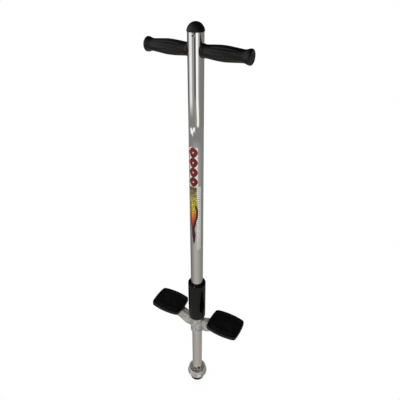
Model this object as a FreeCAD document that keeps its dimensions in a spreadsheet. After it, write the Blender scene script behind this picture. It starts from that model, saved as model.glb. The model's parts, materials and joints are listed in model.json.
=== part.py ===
import FreeCAD, Part
import Sketcher
import math
import os

# A coil-spring pogo stick.  Millimetres, +Z up, the handlebar along X, the front towards -Y.
# The origin is the centre of the rubber tip's sole, on the ground.

doc = FreeCAD.newDocument("pogo_stick")
sheet = doc.addObject("Spreadsheet::Sheet", "Sizes")


class Length:
    """A size that carries both its number and the spreadsheet formula it comes from."""

    def __init__(self, value, formula):
        self.value = float(value)
        self.formula = formula

    def __add__(self, other):
        other = as_length(other)
        return Length(self.value + other.value, f"({self.formula} + {other.formula})")

    def __sub__(self, other):
        other = as_length(other)
        return Length(self.value - other.value, f"({self.formula} - {other.formula})")

    def __rsub__(self, other):
        return as_length(other) - self

    def __mul__(self, factor):
        return Length(self.value * factor, f"({self.formula} * {factor})")

    def __truediv__(self, factor):
        return Length(self.value / factor, f"({self.formula} / {factor})")

    def __neg__(self):
        return Length(-self.value, f"(0 - {self.formula})")

    __radd__ = __add__


def as_length(number):
    """A plain number as a Length."""
    if isinstance(number, Length):
        return number
    return Length(number, f"({number})")


def driving(alias, number):
    """Writes one driving dimension into the next row of the sheet."""
    row = driving.rows = getattr(driving, "rows", 0) + 1
    sheet.set(f"A{row}", alias.replace("_", " "))
    sheet.set(f"B{row}", str(number))
    sheet.setAlias(f"B{row}", alias)
    return Length(number, f"Sizes.{alias}")


# ---- driving dimensions ------------------------------------------------------------------

# fits
touch_gap = driving("touch_gap", 0.02)             # between parts that are fixed to each other
running_gap = driving("running_gap", 0.05)         # radial, between parts that slide

# main tube
tube_radius = driving("tube_radius", 17.5)
tube_wall = driving("tube_wall", 1.2)
tube_bottom = driving("tube_bottom", 286)
tube_top = driving("tube_top", 1148.7)

# handlebar and grips
bar_height = driving("bar_height", 1113)
bar_shift = driving("bar_shift", 2)                 # of the bar's middle, towards +X
bar_radius = driving("bar_radius", 9.5)
bar_wall = driving("bar_wall", 1.5)
bar_half_length = driving("bar_half_length", 118.5)
bar_weld_size = driving("bar_weld_size", 1.8)
grip_start = driving("grip_start", 14)
grip_inner_neck = driving("grip_inner_neck", 21.5)
grip_widest = driving("grip_widest", 62)
grip_outer_neck = driving("grip_outer_neck", 104.5)
grip_rim = driving("grip_rim", 118.3)
grip_end = driving("grip_end", 122.1)
grip_inner_flange_radius = driving("grip_inner_flange_radius", 14.7)
grip_inner_neck_radius = driving("grip_inner_neck_radius", 13.4)
grip_barrel_radius = driving("grip_barrel_radius", 16.2)
grip_outer_neck_radius = driving("grip_outer_neck_radius", 12.95)
grip_rim_radius = driving("grip_rim_radius", 15.9)
grip_end_radius = driving("grip_end_radius", 12.5)
grip_groove_half_length = driving("grip_groove_half_length", 27)
grip_groove_depth = driving("grip_groove_depth", 1.5)
grip_groove_lift = driving("grip_groove_lift", 0.6)    # of the groove cutter's axis off the barrel
grip_weld_room = driving("grip_weld_room", 2.4)    # round the bar, for the weld bead

# top cap and its rivets
cap_radius = driving("cap_radius", 18.6)
cap_rim_height = driving("cap_rim_height", 1.4)
cap_dome_height = driving("cap_dome_height", 16.8)
cap_plug_length = driving("cap_plug_length", 18)
rivet_drop = driving("rivet_drop", 5.2)
rivet_head_radius = driving("rivet_head_radius", 4)
rivet_head_height = driving("rivet_head_height", 1.5)
rivet_shank_radius = driving("rivet_shank_radius", 2.4)

# plunger: piston tube, guide plug and cross pin
piston_radius = driving("piston_radius", 16)
piston_wall = driving("piston_wall", 2)
piston_top = driving("piston_top", 354)
pin_height = driving("pin_height", 339)
pin_radius = driving("pin_radius", 4)
pin_half_length = driving("pin_half_length", 22)
clip_radius = driving("clip_radius", 6.6)
clip_inner_end = driving("clip_inner_end", 18.9)
clip_thickness = driving("clip_thickness", 1)
travel = driving("travel", 90)
plug_flange_height = driving("plug_flange_height", 6)
plug_stem_length = driving("plug_stem_length", 32)
plug_spigot_radius = driving("plug_spigot_radius", 7.8)
washer_thickness = driving("washer_thickness", 1.8)

# spring
spring_top = driving("spring_top", 700)
spring_coil_radius = driving("spring_coil_radius", 11.75)
spring_wire_radius = driving("spring_wire_radius", 2.25)
spring_turns = driving("spring_turns", 26)

# black sleeve round the pin's slots
sleeve_radius = driving("sleeve_radius", 25.75)
sleeve_wall = driving("sleeve_wall", 2.5)
sleeve_bottom = driving("sleeve_bottom", 320)
sleeve_top = driving("sleeve_top", 460)
sleeve_ledge_bottom = driving("sleeve_ledge_bottom", 439)
sleeve_ledge_top = driving("sleeve_ledge_top", 447)
sleeve_ring_top = driving("sleeve_ring_top", 456.6)
sleeve_screw_circle = driving("sleeve_screw_circle", 21.2)

# footrest bracket
collar_radius = driving("collar_radius", 20.5)
collar_bottom = driving("collar_bottom", 250.5)
collar_top = driving("collar_top", 326)
collar_lip = driving("collar_lip", 3)
arm_sheet = driving("arm_sheet", 2.5)
arm_inner_half_width = driving("arm_inner_half_width", 7)
arm_outer_half_width = driving("arm_outer_half_width", 16)
arm_end = driving("arm_end", 128)
arm_shoulder = driving("arm_shoulder", 62)
arm_inner_top = driving("arm_inner_top", 305)
arm_inner_bottom = driving("arm_inner_bottom", 263.5)
arm_kink = driving("arm_kink", 36)
arm_kink_bottom = driving("arm_kink_bottom", 266.5)
arm_shoulder_bottom = driving("arm_shoulder_bottom", 286)
arm_end_bottom = driving("arm_end_bottom", 304.5)

# foot pads
pad_centre = driving("pad_centre", 97.6)
pad_half_length = driving("pad_half_length", 46.7)
pad_half_width = driving("pad_half_width", 35.6)
pad_bow = driving("pad_bow", 6)
pad_end_bow = driving("pad_end_bow", 3.2)
pad_corner_radius = driving("pad_corner_radius", 6.5)
pad_bottom = driving("pad_bottom", 321.2)
pad_top = driving("pad_top", 333.8)
pad_edge_radius = driving("pad_edge_radius", 2)
pad_groove_depth = driving("pad_groove_depth", 1)
pad_groove_width = driving("pad_groove_width", 1.6)
insert_half_length = driving("insert_half_length", 30)
insert_half_width = driving("insert_half_width", 22)
insert_thickness = driving("insert_thickness", 3)
pad_screw_spacing = driving("pad_screw_spacing", 36)
pad_screw_radius = driving("pad_screw_radius", 2.5)

# foot
tip_radius = driving("tip_radius", 21.6)
tip_height = driving("tip_height", 6.5)
tip_edge_radius = driving("tip_edge_radius", 2.5)
cup_bottom_radius = driving("cup_bottom_radius", 20.2)
cup_belly_radius = driving("cup_belly_radius", 30.3)
cup_belly_height = driving("cup_belly_height", 22)
cup_rim_radius = driving("cup_rim_radius", 29.3)
cup_rim_height = driving("cup_rim_height", 47.3)
cup_wall = driving("cup_wall", 2.5)
foot_bolt_height = driving("foot_bolt_height", 56)
foot_bolt_radius = driving("foot_bolt_radius", 3)
foot_bolt_head_flats = driving("foot_bolt_head_flats", 10)
foot_plug_top = driving("foot_plug_top", 70)

# printed film on the main tube
decal_bottom = driving("decal_bottom", 596)
decal_top = driving("decal_top", 903)
decal_thickness = driving("decal_thickness", 0.15)
decal_half_angle = driving("decal_half_angle", 50)

# directions round the stick, in degrees from the front (-Y) towards +X
RIVET_ANGLE = 13
SLEEVE_SCREW_ANGLE = 9
DECAL_ANGLE = 16
FOOT_BOLT_ANGLE = 46

# counts and small sizes
GRIP_GROOVES = 12
GRIP_FLANGE_EDGE = 1.5
GRIP_FLANGE_WIDTH = 3.5
SEAT_HEIGHT = 12
SEAT_WALL = 2.5
SEAT_FLOOR = 3
SPIGOT_HEIGHT = 13
SPIGOT_TAPER = 2
SPIGOT_GAP = 0.4
WASHER_BORE_GAP = 0.2
WASHER_RIM_GAP = 0.5
SLEEVE_EDGE = 1.2
SLEEVE_LIP = 4
SLEEVE_SCREW_SHANK = 1.4
SLEEVE_SCREW_HEAD = 2.1
SLEEVE_SCREW_HEIGHT = 1.7
SLEEVE_SCREW_GRIP = 3.5              # how far the screw reaches into the sleeve's ledge
COLLAR_EDGE = 2
COLLAR_LIP_GAP = 0.5                 # between the collar's lip and the piston
ARM_CORNER = 10
ARM_WELD_RADIUS = 1.6
ARM_WELD_SETBACK = 2
PAD_GROOVE_INSETS = (5, 9)
PAN_HEAD_HEIGHT = 3.2
PAN_HEAD_EDGE = 1.2
PAN_HEAD_OVERHANG = 2.2              # past the shank, all round
PAD_SCREW_POINT = 1
PAD_SCREW_PAST_INSERT = 2
CUP_FLOOR_EXTRA = 0.5                # the bowl's floor is this much thicker than its wall
TIP_CHAMFER = 0.8
TIP_STUD_RADIUS = 4
TIP_STUD_DISC = 10
TIP_STUD_DISC_BOTTOM = 2.5
TIP_STUD_DISC_TOP = 4.5
TIP_STUD_TOP = 35
TIP_STUD_CHAMFER = 1
FOOT_PLUG_HOLE_TOP = 38
FOOT_WELD_HEIGHT = 3
FOOT_WELD_WIDTH = 2
FOOT_BOLT_HEAD_HEIGHT = 4
FOOT_BOLT_PAST_NUT = 2
FOOT_NUT_HEIGHT = 5
FOOT_WASHER_RADIUS = 6
FOOT_WASHER_THICKNESS = 1

PAST = 20                            # how far a cutting tool runs past what it cuts
TALL = 400                           # taller than any piece it trims
CORNER = 1 - math.sqrt(0.5)          # a quarter-round's middle, in from its corner, per radius

doc.recompute()
finished = {}


# ---- helpers ------------------------------------------------------------------------------

def bind(thing, **sizes):
    """Binds properties of a document object to the sheet."""
    for name, size in sizes.items():
        thing.setExpression(name, as_length(size).formula)


def keep(name, thing):
    """Marks a document object as one of the stick's pieces; its label names its file."""
    thing.Label = name
    finished[name] = thing
    return thing


def turned_to(angle):
    """A rotation about Z, counted from the front (-Y) towards +X."""
    return FreeCAD.Rotation(FreeCAD.Vector(0, 0, 1), angle)


def origin_plane(body, role):
    return [f for f in body.Origin.OriginFeatures if f.Role == role][0]


def draw(body, role, name, steps):
    """A closed sketch on one of the body's origin planes, every point bound to the sheet.

    steps is a list of points: (x, y) ends a line and (x, y, mid_x, mid_y) ends an arc through mid.
    """
    sketch = body.newObject("Sketcher::SketchObject", name)
    sketch.AttachmentSupport = (origin_plane(body, role), [""])
    sketch.MapMode = "FlatFace"
    steps = [[as_length(n) for n in step] for step in steps]
    ends = []
    for before, step in zip([steps[-1]] + steps[:-1], steps):
        a = FreeCAD.Vector(before[0].value, before[1].value, 0)
        b = FreeCAD.Vector(step[0].value, step[1].value, 0)
        if len(step) == 2:
            edge = sketch.addGeometry(Part.LineSegment(a, b), False)
        else:
            middle = FreeCAD.Vector(step[2].value, step[3].value, 0)
            edge = sketch.addGeometry(Part.Arc(a, middle, b), False)
            dot = sketch.addGeometry(Part.Point(middle), True)
            pin_point(sketch, dot, 1, step[2], step[3])
            sketch.addConstraint(Sketcher.Constraint("PointOnObject", dot, 1, edge))
        starts_at_a = sketch.getPoint(edge, 1).distanceToPoint(a) < 1e-6
        ends.append((edge, 1, 2) if starts_at_a else (edge, 2, 1))
    for (edge, first, last), step, (after, after_first, _) in zip(ends, steps, ends[1:] + ends[:1]):
        sketch.addConstraint(Sketcher.Constraint("Coincident", edge, last, after, after_first))
        pin_point(sketch, edge, last, step[0], step[1])
    return sketch


def pin_point(sketch, geometry, vertex, x, y):
    """Holds one sketch point at x, y."""
    for kind, size in (("DistanceX", x), ("DistanceY", y)):
        made = sketch.addConstraint(Sketcher.Constraint(kind, -1, 1, geometry, vertex, size.value))
        sketch.setExpression(f"Constraints[{made}]", size.formula)


def turned(name, steps, axis="V_Axis"):
    """A turned solid: the outline in the XZ plane, spun about Z (or about X for H_Axis)."""
    body = doc.addObject("PartDesign::Body", name)
    sketch = draw(body, "XZ_Plane", name + "_outline", steps)
    spin = body.newObject("PartDesign::Revolution", name + "_spin")
    spin.Profile = (sketch, [""])
    spin.ReferenceAxis = (sketch, [axis])
    spin.Angle = 360
    sketch.Visibility = False
    return body


def extruded(name, role, steps, length, midplane=False):
    """A prism of the outline."""
    body = doc.addObject("PartDesign::Body", name)
    sketch = draw(body, role, name + "_outline", steps)
    pad = body.newObject("PartDesign::Pad", name + "_pad")
    pad.Profile = (sketch, [""])
    pad.SideType = "Symmetric" if midplane else "One side"
    bind(pad, Length=length)
    return body


def ring(name, inner, outer, bottom, top):
    """A plain tube or washer about Z."""
    return turned(name, [(inner, bottom), (outer, bottom), (outer, top), (inner, top)])


def place(thing, x, y, z):
    """Binds where a piece stands to the sheet."""
    for axis, size in zip("xyz", (x, y, z)):
        thing.setExpression(f"Placement.Base.{axis}", as_length(size).formula)


def dome_middle(radius, height):
    """Half-way along a spherical dome's arc, counted from the centre of the dome's rim."""
    radius, height = as_length(radius), as_length(height)
    ball = (radius.value ** 2 + height.value ** 2) / (2 * height.value)
    half_angle = math.asin(radius.value / ball) / 2
    sunk = ball * (1 - math.cos(half_angle))
    return radius * (ball * math.sin(half_angle) / radius.value), height * (1 - sunk / height.value)


def bowed(corners):
    """Steps for draw(): each corner is (x, y, bow), the arc to it bowing left by a share of it."""
    steps = []
    for before, (x, y, bow) in zip([None] + corners[:-1], corners):
        if bow == 0:
            steps.append((x, y))
            continue
        middle_x = (x + before[0]) / 2 - (y - before[1]) * bow
        middle_y = (y + before[1]) / 2 + (x - before[0]) * bow
        steps.append((x, y, middle_x, middle_y))
    return steps


def cross_rod(name, radius, half_length, height, angle):
    """A cylinder through the axis at a height, lying in the direction angle."""
    cylinder = doc.addObject("Part::Cylinder", name)
    half_length = as_length(half_length)
    bind(cylinder, Radius=radius, Height=half_length * 2)
    lying = turned_to(angle).multiply(FreeCAD.Rotation(FreeCAD.Vector(1, 0, 0), 90))
    cylinder.Placement = FreeCAD.Placement(FreeCAD.Vector(), lying)
    rear = turned_to(angle).multVec(FreeCAD.Vector(0, 1, 0))
    place(cylinder, half_length * rear.x, half_length * rear.y, height)
    return cylinder


def cut(name, base, *tools):
    """base with every tool taken away."""
    for number, tool in enumerate(tools, 1):
        result = doc.addObject("Part::Cut", f"{name}_cut_{number}")
        result.Base = base
        result.Tool = tool
        result.Refine = True
        base = result
    return base


def joined(name, *pieces):
    """Pieces fused into one solid."""
    fuse = doc.addObject("Part::MultiFuse", name)
    fuse.Shapes = list(pieces)
    fuse.Refine = True
    return fuse


def group(name, *pieces):
    """Separate solids kept together as one node."""
    compound = doc.addObject("Part::Compound", name)
    compound.Links = list(pieces)
    return compound


def copy_turned(name, thing, angle):
    """A second copy of a piece, turned about Z."""
    link = doc.addObject("Part::Compound", name)
    link.Links = [thing]
    link.Placement = FreeCAD.Placement(FreeCAD.Vector(), turned_to(angle))
    return link


# ---- main tube and what closes its top ----------------------------------------------------

def make_main_tube():
    inner = tube_radius - tube_wall
    shell = ring("tube_shell", inner, tube_radius, tube_bottom, tube_top)
    bar_hole = cross_rod("bar_hole", bar_radius + touch_gap, tube_radius * 2, bar_height, 90)
    rivet_hole = cross_rod(
        "rivet_hole", rivet_shank_radius + touch_gap, tube_radius * 2, tube_top - rivet_drop,
        RIVET_ANGLE,
    )
    slot = doc.addObject("Part::Box", "pin_slot_middle")
    slot_radius = pin_radius + touch_gap * 10
    bind(slot, Length=slot_radius * 2, Width=tube_radius * 4, Height=travel)
    place(slot, -slot_radius, -(tube_radius * 2), pin_height)
    slot_ends = [
        cross_rod("pin_slot_lower_end", slot_radius, tube_radius * 2, pin_height, 0),
        cross_rod("pin_slot_upper_end", slot_radius, tube_radius * 2, pin_height + travel, 0),
    ]
    keep("main_tube", cut("main_tube", shell, bar_hole, rivet_hole, slot, *slot_ends))


def make_top_cap():
    plug_radius = tube_radius - tube_wall - touch_gap
    dome_bottom = tube_top + cap_rim_height
    half_way, half_up = dome_middle(cap_radius, cap_dome_height)
    cap = turned("cap_body", [
        (0, tube_top - cap_plug_length),
        (plug_radius, tube_top - cap_plug_length),
        (plug_radius, tube_top),
        (cap_radius, tube_top),
        (cap_radius, dome_bottom),
        (0, dome_bottom + cap_dome_height, half_way, dome_bottom + half_up),
    ])
    hole = cross_rod(
        "cap_rivet_hole", rivet_shank_radius + touch_gap, tube_radius * 2, tube_top - rivet_drop,
        RIVET_ANGLE,
    )
    keep("top_cap", cut("top_cap", cap, hole))


def make_cap_rivets():
    """Two domed rivets that pin the cap's plug in the tube, one on each side."""
    dome_x, dome_z = dome_middle(rivet_head_radius, rivet_head_height)
    shank_end = tube_radius - cap_plug_length / 2
    rivets = []
    for side, angle in (("front", RIVET_ANGLE), ("rear", RIVET_ANGLE + 180)):
        rivet = turned(f"{side}_rivet", [
            (0, shank_end),
            (rivet_shank_radius, shank_end),
            (rivet_shank_radius, tube_radius),
            (rivet_head_radius, tube_radius),
            (0, tube_radius + rivet_head_height, dome_x, tube_radius + dome_z),
        ])
        lying = turned_to(angle).multiply(FreeCAD.Rotation(FreeCAD.Vector(1, 0, 0), 90))
        rivet.Placement = FreeCAD.Placement(FreeCAD.Vector(), lying)
        place(rivet, 0, 0, tube_top - rivet_drop)
        rivets.append(rivet)
    keep("cap_rivets", group("cap_rivets", *rivets))


# ---- handlebar ----------------------------------------------------------------------------

def make_handlebar():
    bar = turned("bar_body", [
        (-bar_half_length, bar_radius - bar_wall),
        (bar_half_length, bar_radius - bar_wall),
        (bar_half_length, bar_radius),
        (-bar_half_length, bar_radius),
    ], axis="H_Axis")
    place(bar, bar_shift, 0, bar_height)
    keep("handlebar", bar)


def make_handlebar_welds():
    """The fillet of weld where the bar leaves the tube on each side."""
    reach = tube_radius.value * 2
    tube = Part.makeCylinder(
        tube_radius.value, reach, FreeCAD.Vector(0, 0, bar_height.value - reach / 2))
    bar = Part.makeCylinder(
        bar_radius.value + touch_gap.value, reach * 2,
        FreeCAD.Vector(-reach, 0, bar_height.value), FreeCAD.Vector(1, 0, 0))
    cross = tube.fuse(bar).removeSplitter()
    seams = [
        e for e in cross.Edges
        if abs(math.hypot(e.CenterOfMass.x, e.CenterOfMass.y)) < tube_radius.value
        and e.BoundBox.XLength > 1 and e.BoundBox.YLength > bar_radius.value
        and e.BoundBox.ZLength < 2.5 * bar_radius.value
    ]
    filleted = cross.makeFillet(bar_weld_size.value, seams)
    beads = doc.addObject("Part::Feature", "handlebar_welds")
    beads.Shape = Part.makeCompound(filleted.cut(cross).Solids)
    keep("handlebar_welds", beads)


def make_grip(name, angle):
    """A moulded grip: two flanges, a swelling barrel, tapered grooves and an end cut to the tube."""
    bore = bar_radius + touch_gap
    weld_room = bar_radius + grip_weld_room
    weld_end = tube_radius + grip_weld_room + bar_shift
    outside = bowed([
        (grip_start, grip_inner_flange_radius - GRIP_FLANGE_EDGE, 0),
        (grip_start + GRIP_FLANGE_EDGE, grip_inner_flange_radius, 0.2),
        (grip_start + GRIP_FLANGE_WIDTH, grip_inner_flange_radius, 0),
        (grip_inner_neck, grip_inner_neck_radius, -0.05),
        (grip_widest, grip_barrel_radius, 0.0154),
        (grip_outer_neck, grip_outer_neck_radius, 0.0072),
        (grip_rim, grip_rim_radius, -0.026),
        (grip_end, grip_end_radius, 0.176),
    ])
    barrel = turned(name + "_barrel", [(grip_start, weld_room)] + outside + [
        (grip_end, 0),
        (bar_half_length + touch_gap, 0),
        (bar_half_length + touch_gap, bore),
        (weld_end, bore),
        (weld_end, weld_room),
    ], axis="H_Axis")
    groove_radius = grip_barrel_radius + grip_groove_lift
    cutter_radius = grip_groove_depth + grip_groove_lift
    grooves = []
    for number in range(GRIP_GROOVES):
        spindle = turned(f"{name}_groove_{number}", [
            (-grip_groove_half_length, 0),
            (grip_groove_half_length, 0, 0, cutter_radius),
        ], axis="H_Axis")
        around = 360 / GRIP_GROOVES * number
        spindle.Placement = FreeCAD.Placement(
            FreeCAD.Vector(), FreeCAD.Rotation(FreeCAD.Vector(1, 0, 0), around))
        out = spindle.Placement.Rotation.multVec(FreeCAD.Vector(0, 0, 1))
        place(spindle, grip_widest, groove_radius * out.y, groove_radius * out.z)
        grooves.append(spindle)
    grooved = cut(name + "_grooved", barrel, joined(name + "_grooves", *grooves))
    placed = copy_turned(name + "_placed", grooved, angle)
    place(placed, bar_shift, 0, bar_height)
    tube_room = doc.addObject("Part::Cylinder", name + "_tube_room")
    bind(tube_room, Radius=tube_radius + running_gap, Height=bar_height + tube_radius * 2)
    keep(name, cut(name, placed, tube_room))


# ---- spring and its seats -----------------------------------------------------------------

def make_spring_seat():
    """The fixed steel cup welded in the tube; its spigot centres the top of the spring."""
    outer = tube_radius - tube_wall - touch_gap
    spigot = spring_coil_radius - spring_wire_radius - SPIGOT_GAP
    keep("upper_spring_seat", turned("upper_spring_seat", [
        (0, spring_top - SPIGOT_HEIGHT),
        (spigot, spring_top - SPIGOT_HEIGHT),
        (spigot, spring_top),
        (outer, spring_top),
        (outer, spring_top + SEAT_HEIGHT),
        (outer - SEAT_WALL, spring_top + SEAT_HEIGHT),
        (outer - SEAT_WALL, spring_top + SEAT_FLOOR),
        (0, spring_top + SEAT_FLOOR),
    ]))


def make_spring():
    """A round-wire compression spring with both ends ground flat."""
    bottom = spring_bottom()
    helix = doc.addObject("Part::Helix", "spring_path")
    length = spring_top - bottom
    bind(helix, Pitch=(length - spring_wire_radius) / spring_turns.value,
         Height=length - spring_wire_radius, Radius=spring_coil_radius)
    place(helix, 0, 0, bottom + spring_wire_radius / 2)
    wire = doc.addObject("Part::Circle", "spring_wire")
    bind(wire, Radius=spring_wire_radius)
    wire.Placement.Rotation = FreeCAD.Rotation(FreeCAD.Vector(1, 0, 0), 90)
    place(wire, spring_coil_radius, 0, bottom + spring_wire_radius / 2)
    coil = doc.addObject("Part::Sweep", "spring_coil")
    coil.Sections = [wire]
    coil.Spine = (helix, [])
    coil.Solid = True
    coil.Frenet = True
    room = ring("spring_room", 0, tube_radius, bottom, spring_top)
    ground = doc.addObject("Part::Common", "spring")
    ground.Base = coil
    ground.Tool = room
    keep("spring", ground)


def spring_bottom():
    """Where the spring sits on its washer."""
    return piston_top + plug_flange_height + washer_thickness


# ---- plunger ------------------------------------------------------------------------------

def make_piston():
    shell = ring(
        "piston_shell", piston_radius - piston_wall, piston_radius, cup_floor(), piston_top)
    pin_hole = cross_rod("piston_pin_hole", pin_radius + touch_gap, tube_radius, pin_height, 0)
    bolt_hole = cross_rod(
        "piston_bolt_hole", foot_bolt_radius + touch_gap, tube_radius, foot_bolt_height,
        FOOT_BOLT_ANGLE,
    )
    keep("piston_tube", cut("piston_tube", shell, pin_hole, bolt_hole))


def make_guide_plug():
    """The nylon plug that fills the piston's top and slides in the main tube."""
    stem = piston_radius - piston_wall - touch_gap
    flange = tube_radius - tube_wall - running_gap
    top = piston_top + plug_flange_height
    plug = turned("plug_body", [
        (0, piston_top - plug_stem_length),
        (stem, piston_top - plug_stem_length),
        (stem, piston_top),
        (flange, piston_top),
        (flange, top),
        (plug_spigot_radius, top),
        (plug_spigot_radius, top + SPIGOT_HEIGHT - SPIGOT_TAPER),
        (plug_spigot_radius - SPIGOT_TAPER, top + SPIGOT_HEIGHT),
        (0, top + SPIGOT_HEIGHT),
    ])
    pin_hole = cross_rod("plug_pin_hole", pin_radius + touch_gap, tube_radius, pin_height, 0)
    keep("guide_plug", cut("guide_plug", plug, pin_hole))


def make_spring_washer():
    bottom = piston_top + plug_flange_height
    keep("spring_washer", ring(
        "spring_washer", plug_spigot_radius + WASHER_BORE_GAP,
        tube_radius - tube_wall - WASHER_RIM_GAP,
        bottom, bottom + washer_thickness))


def make_cross_pin():
    """The hardened pin through the piston; its ends run in the tube's slots."""
    keep("cross_pin", cross_rod("cross_pin", pin_radius, pin_half_length, pin_height, 0))


def make_pin_clips():
    """A push-on retaining washer on each end of the pin."""
    clips = []
    for side in (-1, 1):
        clip = ring(
            f"clip_{side + 1}", pin_radius + touch_gap, clip_radius,
            clip_inner_end, clip_inner_end + clip_thickness)
        clip.Placement.Rotation = FreeCAD.Rotation(FreeCAD.Vector(1, 0, 0), 90 * side)
        place(clip, 0, 0, pin_height)
        clips.append(clip)
    keep("pin_clips", group("pin_clips", *clips))


# ---- sleeve, stops and bushing ------------------------------------------------------------

def make_sleeve():
    inner = sleeve_radius - sleeve_wall
    body = turned("sleeve_body", [
        (collar_radius + touch_gap, sleeve_bottom),
        (sleeve_radius - SLEEVE_EDGE, sleeve_bottom),
        (sleeve_radius, sleeve_bottom + SLEEVE_EDGE,
         sleeve_radius - SLEEVE_EDGE * CORNER, sleeve_bottom + SLEEVE_EDGE * CORNER),
        (sleeve_radius, sleeve_top - SLEEVE_EDGE),
        (sleeve_radius - SLEEVE_EDGE, sleeve_top,
         sleeve_radius - SLEEVE_EDGE * CORNER, sleeve_top - SLEEVE_EDGE * CORNER),
        (inner, sleeve_top),
        (inner, sleeve_ledge_top),
        (tube_radius + touch_gap, sleeve_ledge_top),
        (tube_radius + touch_gap, sleeve_ledge_bottom),
        (inner, sleeve_ledge_bottom),
        (inner, sleeve_bottom + SLEEVE_LIP),
        (collar_radius + touch_gap, sleeve_bottom + SLEEVE_LIP),
    ])
    holes = sleeve_screw_rods(
        "sleeve_screw_hole", SLEEVE_SCREW_SHANK + touch_gap,
        sleeve_ledge_top - SLEEVE_SCREW_GRIP - touch_gap, sleeve_ring_top)
    keep("sleeve", cut("sleeve", body, *holes))


def sleeve_screw_rods(name, radius, bottom, top):
    """Upright rods on the circle of the sleeve's screws, front and rear."""
    rods = []
    for side, angle in (("front", SLEEVE_SCREW_ANGLE), ("rear", SLEEVE_SCREW_ANGLE + 180)):
        rod = doc.addObject("Part::Cylinder", f"{name}_{side}")
        bind(rod, Radius=radius, Height=as_length(top) - bottom)
        out = turned_to(angle).multVec(FreeCAD.Vector(0, -1, 0))
        place(rod, sleeve_screw_circle * out.x, sleeve_screw_circle * out.y, bottom)
        rods.append(rod)
    return rods


def make_sleeve_ring():
    """The ring that closes the sleeve round the tube, under its rim."""
    body = ring(
        "sleeve_ring_body", tube_radius + touch_gap, sleeve_radius - sleeve_wall - touch_gap,
        sleeve_ledge_top, sleeve_ring_top)
    holes = sleeve_screw_rods(
        "ring_screw_hole", SLEEVE_SCREW_SHANK + touch_gap,
        sleeve_ledge_bottom, sleeve_ring_top + PAST)
    keep("sleeve_ring", cut("sleeve_ring", body, *holes))


def make_sleeve_screws():
    shanks = sleeve_screw_rods(
        "sleeve_screw_shank", SLEEVE_SCREW_SHANK,
        sleeve_ledge_top - SLEEVE_SCREW_GRIP, sleeve_ring_top)
    dome_x, dome_z = dome_middle(SLEEVE_SCREW_HEAD, SLEEVE_SCREW_HEIGHT)
    screws = []
    for shank in shanks:
        head = turned(shank.Name + "_head", [
            (0, 0),
            (SLEEVE_SCREW_HEAD, 0),
            (0, SLEEVE_SCREW_HEIGHT, dome_x, dome_z),
        ])
        for axis in "xy":
            head.setExpression(f"Placement.Base.{axis}", f"{shank.Name}.Placement.Base.{axis}")
        head.setExpression("Placement.Base.z", sleeve_ring_top.formula)
        screws.append(joined(shank.Name + "_whole", shank, head))
    keep("sleeve_screws", group("sleeve_screws", *screws))


def make_stop_rings():
    """Rubber rings inside the sleeve: the pin's clips land on one at each end of the travel."""
    inner = tube_radius + touch_gap
    outer = sleeve_radius - sleeve_wall - touch_gap * 10
    lowest = pin_height - clip_radius - running_gap
    highest = pin_height + travel + clip_radius + running_gap
    keep("rebound_ring", ring("rebound_ring", inner, outer, collar_top, lowest))
    keep("bump_ring", ring("bump_ring", inner, outer, highest, sleeve_ledge_bottom))


def make_collar():
    """The steel collar on the tube's lower end; its rolled lip holds the bushing in."""
    inner = tube_radius + touch_gap
    keep("bracket_collar", turned("bracket_collar", [
        (piston_radius + COLLAR_LIP_GAP, collar_bottom),
        (collar_radius - COLLAR_EDGE, collar_bottom),
        (collar_radius, collar_bottom + COLLAR_EDGE,
         collar_radius - COLLAR_EDGE * CORNER, collar_bottom + COLLAR_EDGE * CORNER),
        (collar_radius, collar_top),
        (inner, collar_top),
        (inner, collar_bottom + collar_lip),
        (piston_radius + COLLAR_LIP_GAP, collar_bottom + collar_lip),
    ]))


def make_bushing():
    keep("lower_bushing", ring(
        "lower_bushing", piston_radius + running_gap, tube_radius,
        collar_bottom + collar_lip, tube_bottom))


# ---- footrest arms ------------------------------------------------------------------------

def arm_outline(offset):
    """The arm seen from the front, pulled in by offset from the top and open below."""
    top_in = arm_inner_top - offset
    top_out = pad_bottom - offset
    drop = offset * PAST
    start = tube_radius - arm_inner_half_width
    return [
        (start, top_in),
        (start, arm_inner_bottom - drop),
        (arm_kink, arm_kink_bottom - drop),
        (arm_shoulder, arm_shoulder_bottom - drop),
        (arm_end + offset * 4, arm_end_bottom - drop),
        (arm_end + offset * 4, top_out),
        (arm_shoulder, top_out),
    ]


def arm_plan():
    """The arm seen from above: it widens from the collar to the pad and has a rounded end."""
    corner = arm_end - ARM_CORNER
    side = arm_outer_half_width - ARM_CORNER
    bulge = ARM_CORNER * CORNER
    return [
        (0, arm_inner_half_width),
        (collar_radius, arm_inner_half_width),
        (corner, arm_outer_half_width),
        (arm_end, side, arm_end - bulge, arm_outer_half_width - bulge),
        (arm_end, -side),
        (corner, -arm_outer_half_width, arm_end - bulge, -(arm_outer_half_width - bulge)),
        (collar_radius, -arm_inner_half_width),
        (0, -arm_inner_half_width),
    ]


def arm_room_plan():
    """The space between the arm's two sides, seen from above, running out past its end."""
    inner = arm_inner_half_width - arm_sheet
    outer = arm_outer_half_width - arm_sheet
    return [
        (0, inner),
        (collar_radius, inner),
        (arm_end - ARM_CORNER, outer),
        (arm_end + ARM_CORNER, outer),
        (arm_end + ARM_CORNER, -outer),
        (arm_end - ARM_CORNER, -outer),
        (collar_radius, -inner),
        (0, -inner),
    ]


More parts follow.
